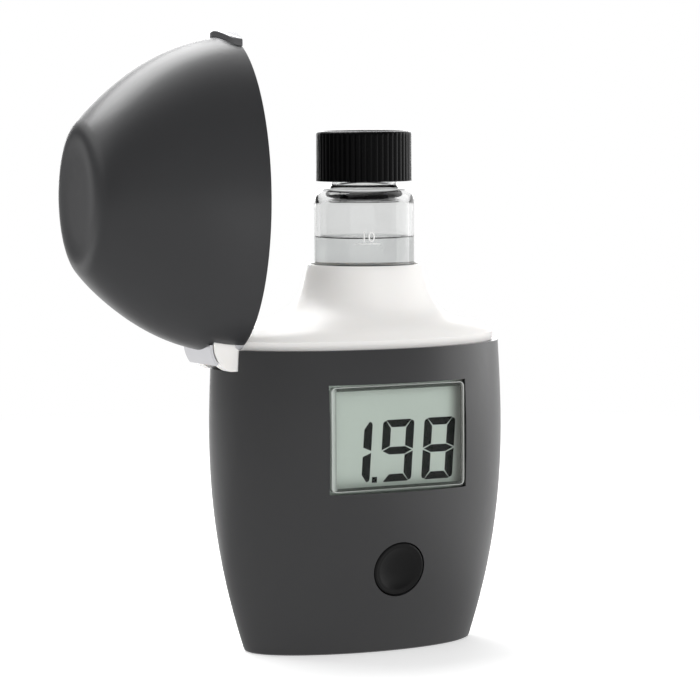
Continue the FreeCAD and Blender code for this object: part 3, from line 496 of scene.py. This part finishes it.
# Points of an arc from one angle to another, in degrees, about (radius, height)
def arc(middle, radius, start, end, count):
    angles = [math.radians(start + (end - start) * step / count) for step in range(count + 1)]
    return [(middle[0] + radius * math.cos(a), middle[1] + radius * math.sin(a)) for a in angles]


# Vial: wall thickness and rounds, the rest from its node
vialSizes = {
    "wall": 1.03 * mm,
    "base": 1.5 * mm,
    "heel": 1.0 * mm,
    "punt": 0.35 * mm,
    "shoulder": 2.2 * mm,
    "neckRadius": 6.1 * mm,
    "neckFoot": 0.7 * mm,
    "neckWall": 1.1 * mm,
    "lip": 0.45 * mm,
    "innerHeel": 1.6 * mm,
    "shoulderTop": 57.9 * mm,
    "steps": 96,
}
glassLow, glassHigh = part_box("cuvette_glass")
vialRadius = (glassHigh.x - glassLow.x) / 2
vialHeight = glassHigh.z - glassLow.z
vialCentre = Vector(((glassLow.x + glassHigh.x) / 2, 0, glassLow.z))


def makeVial(sizes):
    outer, wall = vialRadius, sizes["wall"]
    inner = outer - wall
    neck = sizes["neckRadius"]
    bore = neck - sizes["neckWall"]
    top, foot = sizes["shoulderTop"], sizes["neckFoot"]
    bend = sizes["shoulder"]
    lip, innerHeel = sizes["lip"], sizes["innerHeel"]
    profile = [(0, sizes["punt"]), (outer * 0.5, sizes["punt"] * 0.8), (outer * 0.74, 0)]
    profile += arc((outer - sizes["heel"], sizes["heel"]), sizes["heel"], -90, 0, 6)
    profile += [(outer, top * 0.5)]
    profile += arc((outer - bend, top - bend), bend, 0, 90, 10)
    profile += arc((neck + foot, top + foot), foot, -90, -180, 5)
    profile += [(neck, vialHeight - lip)]
    profile += arc((neck - lip, vialHeight - lip), lip, 0, 90, 4)[1:]
    profile += arc((bore + lip, vialHeight - lip), lip, 90, 180, 4)
    profile += [(bore, top + 0.5 * mm)]
    profile += arc((inner - bend, top - wall - bend), bend, 70, 0, 8)
    profile += [(inner, top * 0.5)]
    profile += arc((inner - innerHeel, sizes["base"] + innerHeel), innerHeel, 0, -90, 6)
    profile += [(inner * 0.4, sizes["base"] + 0.1 * mm), (0, sizes["base"] + 0.15 * mm)]
    return spun("vial", profile, vialCentre, sizes["steps"])


vial = paint(makeVial(vialSizes), vialGlass)
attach(vial, "cuvette")
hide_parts("cuvette_glass")


# Liquid: overlaps the wall by a hair and creeps up it at the surface
liquidSizes = {
    "overlap": 0.03 * mm,
    "creep": 0.25 * mm,
    "creepWidth": 0.8 * mm,
    "steps": 96,
}
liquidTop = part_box("sample_liquid")[1].z - glassLow.z


def makeLiquid(sizes):
    edge = vialRadius - vialSizes["wall"] + sizes["overlap"]
    floor = vialSizes["base"] - sizes["overlap"]
    inset = vialSizes["innerHeel"]
    profile = [(0, floor + 0.15 * mm), (edge * 0.4, floor + 0.1 * mm)]
    profile += arc((edge - inset, floor + inset), inset, -90, 0, 6)
    profile += [(edge, liquidTop + sizes["creep"])]
    for step in range(1, 7):
        share = step / 6
        profile.append((edge - sizes["creepWidth"] * share, liquidTop + sizes["creep"] * (1 - share) ** 2.4))
    profile.append((0, liquidTop))
    return spun("sampleLiquid", profile, vialCentre, sizes["steps"])


liquid = paint(makeLiquid(liquidSizes), sampleWater)
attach(liquid, "cuvette")
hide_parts("sample_liquid")
print("vial and liquid made")


# Cap: ribbed skirt, plain rounded top edge round a shallow recess, hollow underneath
capSizes = {
    "ribs": 50,
    "perRib": 6,
    "grooveDepth": 0.17 * mm,
    "flankDepth": 0.06 * mm,
    "grooveTop": 8.35 * mm,
    "grooveBottom": 0.35 * mm,
    "edgeRound": 0.55 * mm,
    "recess": 0.30 * mm,
    "topRim": 0.55 * mm,
    "boreDepth": 7.8 * mm,
    "boreRadius": 7.2 * mm,
}
capLow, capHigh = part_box("cuvette_cap")
capRadius = (capHigh.x - capLow.x) / 2
capHeight = capHigh.z - capLow.z
capCentre = Vector(((capLow.x + capHigh.x) / 2, 0, (capLow.z + capHigh.z) / 2))


def makeCap(sizes):
    deselectAll()
    around = sizes["ribs"] * sizes["perRib"]
    bpy.ops.mesh.primitive_cylinder_add(vertices=around, radius=capRadius, depth=capHeight,
                                        location=capCentre, end_fill_type="NGON")
    piece = settle(named("cap"))
    bpy.ops.object.mode_set(mode="EDIT")
    for level in (sizes["grooveBottom"], sizes["grooveTop"]):
        cutAcross(2, capLow.z + level)
    sideRadius = capRadius * 0.99

    def ribPlace(point):
        turn = math.atan2(point.y - capCentre.y, point.x - capCentre.x) / math.tau * around
        return round(turn) % sizes["perRib"]

    def onSide(point):
        return (point.xy - capCentre.xy).length > sideRadius

    groovePlan = (({0}, sizes["grooveDepth"]), ({1, sizes["perRib"] - 1}, sizes["flankDepth"]))
    for places, depth in groovePlan:
        pick(piece, "VERT", lambda co, vertex: onSide(co) and ribPlace(co) in places
             and co.z < capLow.z + sizes["grooveTop"] + 0.01 * mm)
        shrink = 1 - depth / capRadius
        bpy.ops.transform.resize(value=(shrink, shrink, 1), center_override=capCentre)
    pick(piece, "EDGE", lambda middle, edge: onSide(middle) and abs(middle.z - capHigh.z) < 0.01 * mm
         and edge.calc_face_angle(0) > 1)
    bpy.ops.mesh.bevel(offset=sizes["edgeRound"], segments=5, affect="EDGES")
    pick(piece, "FACE", lambda middle, face: face.normal.z > 0.9 and len(face.verts) > 20)
    bpy.ops.mesh.inset(thickness=sizes["topRim"])
    bpy.ops.mesh.inset(thickness=sizes["recess"] / 3, depth=-sizes["recess"] * 0.8)
    bpy.ops.mesh.inset(thickness=sizes["recess"], depth=-sizes["recess"] * 0.2)
    pick(piece, "FACE", lambda middle, face: face.normal.z < -0.9 and len(face.verts) > 20)
    bpy.ops.mesh.inset(thickness=capRadius - sizes["boreRadius"])
    bpy.ops.mesh.extrude_region_move(TRANSFORM_OT_translate={"value": (0, 0, sizes["boreDepth"])})
    bpy.ops.mesh.select_all(action="SELECT")
    bpy.ops.mesh.normals_make_consistent(inside=False)
    bpy.ops.object.mode_set(mode="OBJECT")
    return smooth(piece, 28)


cap = paint(makeCap(capSizes), capBlack)
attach(cap, "cap")
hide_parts("cuvette_cap")
print("cap made")


# Button: dished face with a rounded rim on a flange, turned to lean with the shell
buttonSizes = {
    "radius": 5.05 * mm,
    "flange": 5.65 * mm,
    "dish": 0.95 * mm,
    "rim": 0.42 * mm,
    "land": 1.45 * mm,
    "back": 2.15 * mm,
    "tilt": 12,
    "front": -16.2 * mm,
    "level": 15.8 * mm,
    "steps": 96,
}


def makeButton(sizes):
    radius, rim, dish = sizes["radius"], sizes["rim"], sizes["dish"]
    bowl = radius - 2 * rim
    profile = [(0.02 * mm, dish)]
    for step in range(1, 13):
        share = step / 12
        profile.append((bowl * share, dish * (1 - share ** 2.2) + 0.06 * mm * share))
    profile += arc((radius - rim, rim), rim, -125, 0, 8)
    profile += [(radius, sizes["land"]), (sizes["flange"], sizes["land"]), (sizes["flange"], sizes["back"])]
    profile += [(0.02 * mm, sizes["back"])]
    piece = spun("buttonFace", profile, Vector((0, 0, 0)), sizes["steps"])
    piece.rotation_euler = (-math.radians(90 - sizes["tilt"]), 0, 0)
    piece.location = (0, sizes["front"], sizes["level"])
    return settle(piece)


button = paint(makeButton(buttonSizes), buttonBlack)
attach(button, "button")
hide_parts("button_cap")
print("button made")


# Lid: a copy of its node with the flat crown cut off and grown again with a soft edge and a dish
lidSizes = {
    "cut": 1.5 * mm,
    "halfDepth": 10.30 * mm,
    "halfHeight": 14.24 * mm,
    "edgeRadius": 4.27 * mm,
    "edgeAngle": 45,
    "edgeSteps": 9,
    "dish": [(0.7 * mm, 0.02 * mm), (1.5 * mm, 0.10 * mm), (2.6 * mm, 0.19 * mm), (3.9 * mm, 0.24 * mm)],
}
lidLow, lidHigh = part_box("lid_shell")


def makeLid(sizes):
    deselectAll()
    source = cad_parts["lid_shell"]
    piece = bpy.data.objects.new("lidDome", source.data.copy())
    bpy.context.scene.collection.objects.link(piece)
    piece.data.name = "lidDome"
    piece.select_set(True)
    bpy.context.view_layer.objects.active = piece
    bpy.ops.mesh.customdata_custom_splitnormals_clear()
    bpy.ops.object.mode_set(mode="EDIT")
    bpy.ops.mesh.select_all(action="SELECT")
    bpy.ops.mesh.remove_doubles(threshold=0.002 * mm)
    level = lidLow.x + sizes["cut"]
    cutAcross(0, level, clear_inner=True)
    pick(piece, "EDGE", lambda middle, edge: abs(middle.x - level) < 0.005 * mm and edge.is_boundary)
    middle = Vector((level, 0, (lidLow.z + lidHigh.z) / 2))
    loop = [v.co.z for v in bmesh.from_edit_mesh(piece.data).verts if v.select]
    middle.z = (min(loop) + max(loop)) / 2
    radius, start = sizes["edgeRadius"], math.radians(sizes["edgeAngle"])
    rounds = []
    for step in range(1, sizes["edgeSteps"] + 1):
        angle = start * (1 - step / sizes["edgeSteps"])
        rounds.append((radius * (math.sin(start) - math.sin(angle)),
                       radius * (math.cos(angle) - math.cos(start))))
    inset, height = rounds[-1]
    rounds += [(inset + reach, height - depth) for reach, depth in sizes["dish"]]
    before = (0, 0)
    for inset, height in rounds:
        bpy.ops.mesh.extrude_region_move(TRANSFORM_OT_translate={"value": (before[1] - height, 0, 0)})
        across, upward = [(half - inset) / (half - before[0])
                          for half in (sizes["halfDepth"], sizes["halfHeight"])]
        bpy.ops.transform.resize(value=(1, across, upward), center_override=middle)
        before = (inset, height)
    bpy.ops.mesh.edge_face_add()
    bpy.ops.object.mode_set(mode="OBJECT")
    return smooth(piece, 32)


lid = paint(makeLid(lidSizes), lidGrey)
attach(lid, "lid")
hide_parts("lid_shell")
print("lid made")


# Clasp: half-oval lip that wraps over the lid's rim, with a rounded edge and a gap that clears the cup
claspSizes = {
    "gap": 0.7 * mm,
    "reach": 2.8 * mm,
    "half": 5.9 * mm,
    "thickness": 1.25 * mm,
    "edgeDrop": 0.35 * mm,
    "rimHalfLength": 28.6 * mm,
    "rimHalfDepth": 17.4 * mm,
    "around": 64,
    "cuts": 9,
}
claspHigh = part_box("lid_clasp")[1]


def makeClasp(sizes):
    deselectAll()
    back = claspHigh.x - sizes["gap"]
    bpy.ops.mesh.primitive_circle_add(vertices=sizes["around"], radius=1, fill_type="NGON",
                                      location=(back, 0, claspHigh.z - sizes["thickness"]))
    piece = named("claspLip")
    piece.scale = (sizes["reach"], sizes["half"], 1)
    settle(piece)
    bpy.ops.object.mode_set(mode="EDIT")
    bpy.ops.mesh.select_all(action="SELECT")
    bpy.ops.mesh.extrude_region_move(TRANSFORM_OT_translate={"value": (0, 0, sizes["thickness"])})
    pick(piece, "EDGE", lambda middle, edge: middle.z > claspHigh.z - 0.01 * mm)
    bpy.ops.mesh.bevel(offset=sizes["edgeDrop"], segments=5, affect="EDGES")
    for level in range(1 - sizes["cuts"], sizes["cuts"]):
        cutAcross(1, level / sizes["cuts"] * sizes["half"])
    cutAcross(0, back, clear_outer=True, use_fill=True)
    mesh = bmesh.from_edit_mesh(piece.data)
    for vertex in mesh.verts:
        share = min(0.99, abs(vertex.co.y) / sizes["rimHalfDepth"])
        vertex.co.z -= sizes["rimHalfLength"] * (1 - math.sqrt(1 - share * share))
    bmesh.update_edit_mesh(piece.data)
    bpy.ops.mesh.select_all(action="SELECT")
    bpy.ops.mesh.normals_make_consistent(inside=False)
    bpy.ops.object.mode_set(mode="OBJECT")
    return smooth(piece, 30)


clasp = paint(makeClasp(claspSizes), trimChrome)
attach(clasp, "lid")
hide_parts("lid_clasp")
print("clasp made")


# Vial mark: a printed number and line on the glass, wrapped round it
markSizes = {
    "number": "10",
    "size": 2.7 * mm,
    "azimuth": -24.0,
    "level": 75.1 * mm,
    "lift": 0.04 * mm,
    "thickness": 0.03 * mm,
    "lineWidth": 4.6 * mm,
    "lineHeight": 0.16 * mm,
    "lineDrop": 0.35 * mm,
    "cuts": 12,
    "cutStep": 0.2 * mm,
}


# Lays a flat piece, drawn in X and Z, round the vial
def wrapRound(piece, sizes):
    radius = vialRadius + sizes["lift"]
    facing = math.radians(sizes["azimuth"])
    for vertex in piece.data.vertices:
        turn = facing + vertex.co.x / radius
        reach = radius + vertex.co.y
        vertex.co = (vialCentre.x + reach * math.sin(turn), vialCentre.y - reach * math.cos(turn),
                     sizes["level"] + vertex.co.z)


def makeMark(sizes):
    deselectAll()
    bpy.ops.object.text_add(location=(0, 0, 0), rotation=(math.radians(90), 0, 0))
    label = bpy.context.object
    label.data.body = sizes["number"]
    label.data.size = sizes["size"]
    label.data.align_x = "CENTER"
    label.data.extrude = sizes["thickness"] / 2
    bpy.ops.object.convert(target="MESH")
    label = settle(bpy.context.object)
    bpy.ops.mesh.primitive_cube_add(size=1, location=(0, 0, -sizes["lineDrop"]),
                                    scale=(sizes["lineWidth"], sizes["thickness"], sizes["lineHeight"]))
    line = settle(bpy.context.object)
    deselectAll()
    label.select_set(True)
    line.select_set(True)
    bpy.context.view_layer.objects.active = label
    bpy.ops.object.join()
    piece = named("vialMark")
    bpy.ops.object.mode_set(mode="EDIT")
    for level in range(-sizes["cuts"], sizes["cuts"] + 1):
        cutAcross(0, level * sizes["cutStep"])
    bpy.ops.object.mode_set(mode="OBJECT")
    wrapRound(piece, sizes)
    return piece


printWhite = moulded("printWhite", (0.80, 0.80, 0.79), 0.5, 2400, 0.000002)
mark = paint(makeMark(markSizes), printWhite)
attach(mark, "cuvette")
print("vial mark made")


# Display window: a clear pane proud of its flange, with a cut rim painted light as a painted highlight and
# bevelled edges carrying painted highlight and shade
windowSizes = {
    "flange": 1.0 * mm,
    "proud": 1.15 * mm,
    "corner": 0.9 * mm,
    "rim": 0.16 * mm,
    "bevel": 0.60 * mm,
    "bevelRise": 0.35 * mm,
}
windowLow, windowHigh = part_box("lcd_window")


def makeWindow(sizes):
    deselectAll()
    bpy.ops.mesh.primitive_cube_add(size=1, location=(windowLow + windowHigh) / 2,
                                    scale=windowHigh - windowLow)
    piece = settle(named("displayWindow"))
    bpy.ops.object.mode_set(mode="EDIT")

    def frontFace():
        front = min(vertex.co.y for vertex in bmesh.from_edit_mesh(piece.data).verts)
        pick(piece, "FACE", lambda middle, face: abs(middle.y - front) < 0.001 * mm
             and face.normal.y < -0.9 and face.calc_area() > 100 * mm * mm)
        return front

    seat = frontFace()
    bpy.ops.mesh.inset(thickness=sizes["flange"])
    bpy.ops.mesh.extrude_region_move(TRANSFORM_OT_translate={"value": (0, -sizes["proud"], 0)})
    pick(piece, "EDGE", lambda middle, edge: middle.y < seat
         and abs(edge.verts[0].co.y - edge.verts[1].co.y) > 0.5 * sizes["proud"])
    bpy.ops.mesh.bevel(offset=sizes["corner"], segments=6, affect="EDGES")
    frontFace()
    bpy.ops.mesh.inset(thickness=sizes["rim"])
    bpy.ops.mesh.inset(thickness=sizes["bevel"], depth=sizes["bevelRise"])
    bpy.ops.object.mode_set(mode="OBJECT")
    settle(piece)
    front = min(vertex.co.y for vertex in piece.data.vertices)
    # Material 1 carries the painted highlight and shade of the cut edge, material 2 the rim painted light as
    # a highlight
    for face in piece.data.polygons:
        if abs(face.center.y - front) < 0.01 * mm or face.center.y > seat - 0.01 * mm:
            face.material_index = 0
        elif abs(face.normal.y) > 0.98:
            face.material_index = 2
        else:
            face.material_index = 1
    return piece


# Painted highlight (left end) and painted shade (top, bottom and right end) on the window's cut edge
windowEdge = windowCut("windowEdge", (0.55, 0.60, 0.56), (0.20, 0.205, 0.19), (0.040, 0.045, 0.040),
                       reach=13.7 * mm, soft=1.2 * mm)
# Rim painted light grey: a painted highlight along the window's edge
windowRimHighlight = moulded("windowRimHighlight", (0.42, 0.44, 0.42), 0.2, 2600, 0.000002)
window = makeWindow(windowSizes)
indices = [face.material_index for face in window.data.polygons]
paint(window, windowClear)
window.data.materials.append(windowEdge)
window.data.materials.append(windowRimHighlight)
for face, index in zip(window.data.polygons, indices):
    face.material_index = index
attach(window, "instrument")
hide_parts("lcd_window")
print("window made")


# Display: dark segments on the glass, each digit a set of lettered plates
digitSizes = {
    "left": [-11.5 * mm, -2.85 * mm, 5.75 * mm],
    "width": 6.5 * mm,
    "height": 11.3 * mm,
    "bottom": -8.35 * mm,
    "bar": 1.38 * mm,
    "upright": 1.68 * mm,
    "gap": 0.22 * mm,
    "corner": 0.75 * mm,
    "slant": 0.072,
    "thickness": 0.03 * mm,
    "lift": 0.02 * mm,
    "point": 1.05 * mm,
    "pointGap": 0.5 * mm,
    "pointLean": 0.06,
    "nipRun": 0.18 * mm,
    "nipRise": 0.12 * mm,
    "nipSide": 0.16 * mm,
}
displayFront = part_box("lcd_glass")[0].y
displayMiddle = (windowLow.z + windowHigh.z) / 2
segmentsOf = {"1": "bc", "8": "abcdefg", "9": "abcdfg"}


# Corners of one segment, from the digit's lower left corner
def segmentOutline(letter, sizes):
    width, height, bar, side = sizes["width"], sizes["height"], sizes["bar"], sizes["upright"]
    gap, corner = sizes["gap"] / 2, sizes["corner"]
    run, rise = sizes["nipRun"], sizes["nipRise"]
    middle = height / 2
    flat = [(corner + gap, height), (width - corner - gap, height),
            (width - corner - gap + run, height - rise),
            (width - side - gap * 1.5, height - bar), (side + gap * 1.5, height - bar),
            (corner + gap - run, height - rise)]
    upright = [(width, middle + gap * 1.6), (width, height - corner),
               (width - sizes["nipSide"], height - corner * 0.45),
               (width - corner + gap, height - corner * 0.2),
               (width - side, height - bar - gap * 1.5), (width - side, middle + bar / 2 + gap * 1.5)]
    centre = [(gap * 2, middle), (side, middle + bar / 2), (width - side, middle + bar / 2),
              (width - gap * 2, middle), (width - side, middle - bar / 2), (side, middle - bar / 2)]

    def mirrorSide(points):
        return [(width - x, z) for x, z in points]

    def mirrorDown(points):
        return [(x, height - z) for x, z in points]

    return {
        "a": flat, "d": mirrorDown(flat), "g": centre,
        "b": upright, "c": mirrorDown(upright),
        "f": mirrorSide(upright), "e": mirrorDown(mirrorSide(upright)),
    }[letter]


# A flat plate from outline corners on the display's face
def displayPlate(name, corners, sizes):
    deselectAll()
    bpy.ops.mesh.primitive_circle_add(vertices=len(corners), radius=mm, fill_type="NGON")
    piece = named(name)
    bpy.ops.object.mode_set(mode="EDIT")
    mesh = bmesh.from_edit_mesh(piece.data)
    face = displayFront - sizes["lift"]
    for vertex, (x, z) in zip(mesh.verts, corners):
        vertex.co = (x, face, z)
    bmesh.update_edit_mesh(piece.data)
    bpy.ops.mesh.select_all(action="SELECT")
    bpy.ops.mesh.extrude_region_move(TRANSFORM_OT_translate={"value": (0, sizes["thickness"], 0)})
    bpy.ops.mesh.select_all(action="SELECT")
    bpy.ops.mesh.normals_make_consistent(inside=False)
    bpy.ops.object.mode_set(mode="OBJECT")
    return piece


def makeDigits(reading, sizes):
    plates = []
    base = displayMiddle + sizes["bottom"]
    for left, digit in zip(sizes["left"], reading):
        for letter in segmentsOf[digit]:
            corners = [(left + x + sizes["slant"] * z, base + z) for x, z in segmentOutline(letter, sizes)]
            plates.append(displayPlate("segment", corners, sizes))
    point, start = sizes["point"], sizes["left"][0] + sizes["width"] + sizes["pointGap"]
    lean = sizes["pointLean"] * point
    corners = [(start, base), (start + point, base),
               (start + point + lean, base + point), (start + lean, base + point)]
    plates.append(displayPlate("segment", corners, sizes))
    deselectAll()
    for plate in plates:
        plate.select_set(True)
    bpy.context.view_layer.objects.active = plates[0]
    bpy.ops.object.join()
    return named("displaySegments")


segmentInk = moulded("segmentInk", (0.0015, 0.003, 0.002), 0.6, 5200, 0.000001, gloss=0.02)
digits = paint(makeDigits("198", digitSizes), segmentInk)
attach(digits, "instrument")
print("display segments made")


# Stage: pale floor, a white surround that reflections find dimmer on the camera's side, soft lamps
stageSizes = {
    "floor": 6.0,
    "floorTone": 0.80,
    "floorGlow": 0.46,
    "dimMirrored": 0.46,
    "brightRight": (0.015, 0.09),
    "brightBehind": (0.04, 0.12),
    "behindFades": (0.3, 0.9),
    "whiteFrom": (0.16, 0.45),
    "skyFill": 0.42,
    "dimFront": 0.16,
    "dimLeft": 0.12,
    "glowRight": 1.35,
}
# Name, place, size, watts, and whether reflections show it
lamps = [
    ("sideRight", (0.85, -0.22, 0.20), (0.8, 0.7), 2.3, True),
    ("backRight", (0.40, 0.95, 0.30), (0.9, 0.5), 4.5, True),
    ("topBehind", (-0.10, 0.42, 0.85), (0.9, 0.6), 9.6, True),
    ("leftFill", (-0.22, -1.15, 0.36), (0.8, 0.8), 4.3, False),
]
lampTarget = Vector((0, 0, 0.055))


# Matte and lit near the object, where its shadow falls, and plain white further out
def makeFloor(sizes):
    deselectAll()
    bpy.ops.mesh.primitive_plane_add(size=sizes["floor"], location=(0, 0, 0))
    floor = named("studioFloor")
    finish = Finish("studioFloor")
    tone = sizes["floorTone"]
    paperGrain = finish.noise(900, 2)
    matte = finish.principled({
        "Base Color": finish.blendColour(paperGrain, (tone, tone, tone), (tone * 1.02,) * 3),
        "Roughness": 0.85,
        "Specular IOR Level": 0.1,
        "Emission Color": (1.0, 1.0, 1.0),
        "Emission Strength": sizes["floorGlow"],
    })
    white = finish.node("ShaderNodeEmission", {"Color": (1, 1, 1, 1), "Strength": 1.0})
    away = finish.node("ShaderNodeVectorMath", {0: finish.place}, {"operation": "LENGTH"}, output="Value")
    nearBehind = 1 - finish.step(away, *sizes["behindFades"])
    behind = finish.step(finish.axis("Y"), *sizes["brightBehind"]) * nearBehind
    bright = finish.maths("MAXIMUM", finish.step(finish.axis("X"), *sizes["brightRight"]), behind)
    mirroredTone = finish.blendColour(bright, (sizes["dimMirrored"],) * 3, (1, 1, 1))
    mirroredFloor = finish.node("ShaderNodeEmission", {"Color": mirroredTone, "Strength": 1.0})
    through = finish.node("ShaderNodeLightPath", output="Is Transmission Ray")
    mirrored = finish.node("ShaderNodeLightPath", output="Is Glossy Ray") * (1 - through)
    share = finish.maths("MAXIMUM", finish.step(away, *sizes["whiteFrom"]), through)
    plain = finish.node("ShaderNodeMixShader", {0: share, 1: matte, 2: white})
    paint(floor, finish.done(finish.node("ShaderNodeMixShader", {0: mirrored, 1: plain, 2: mirroredFloor})))


# The sky is white to the camera and through glass; reflections find it dimmer towards the camera's side
def makeWorld(sizes):
    world = bpy.data.worlds.new("studioSky")
    bpy.context.scene.world = world
    sky = Finish("studioSky", world)
    behind = sky.step(sky.axis("Y"), -0.55, 0.15)
    right = sky.maths("MAXIMUM", sky.step(sky.axis("X"), -0.25, 0.25), sky.step(sky.axis("Z"), 0.20, 0.45))
    sides = sky.blendColour(right, (sizes["dimLeft"],) * 3, (sizes["glowRight"],) * 3)
    mirrored = sky.node("ShaderNodeBackground", {
        "Color": sky.blendColour(behind, (sizes["dimFront"],) * 3, sides), "Strength": 1.0})
    fill = sky.node("ShaderNodeBackground", {"Color": (1, 1, 1, 1), "Strength": sizes["skyFill"]})
    seen = sky.node("ShaderNodeBackground", {"Color": (1, 1, 1, 1), "Strength": 1.0})
    rays = {name: sky.node("ShaderNodeLightPath", output=name)
            for name in ("Is Camera Ray", "Is Transmission Ray", "Is Glossy Ray")}
    direct = sky.maths("MAXIMUM", rays["Is Camera Ray"], rays["Is Transmission Ray"])
    reflecting = sky.node("ShaderNodeMixShader", {0: rays["Is Glossy Ray"], 1: fill, 2: mirrored})
    sky.done(sky.node("ShaderNodeMixShader", {0: direct, 1: reflecting, 2: seen}))


def makeLamp(name, place, size, watts, mirrored):
    data = bpy.data.lights.new(name, "AREA")
    data.shape = "RECTANGLE"
    data.size, data.size_y = size
    data.energy = watts
    lamp = bpy.data.objects.new(name, data)
    bpy.context.scene.collection.objects.link(lamp)
    lamp.location = place
    lamp.visible_camera = False
    lamp.visible_glossy = mirrored
    lamp.visible_transmission = False
    lamp.rotation_mode = "QUATERNION"
    lamp.rotation_quaternion = (lampTarget - Vector(place)).to_track_quat("-Z", "Y")


makeFloor(stageSizes)
makeWorld(stageSizes)
for lamp in lamps:
    makeLamp(*lamp)
bpy.context.scene.view_settings.view_transform = "Standard"
print("stage set")

deselectAll()
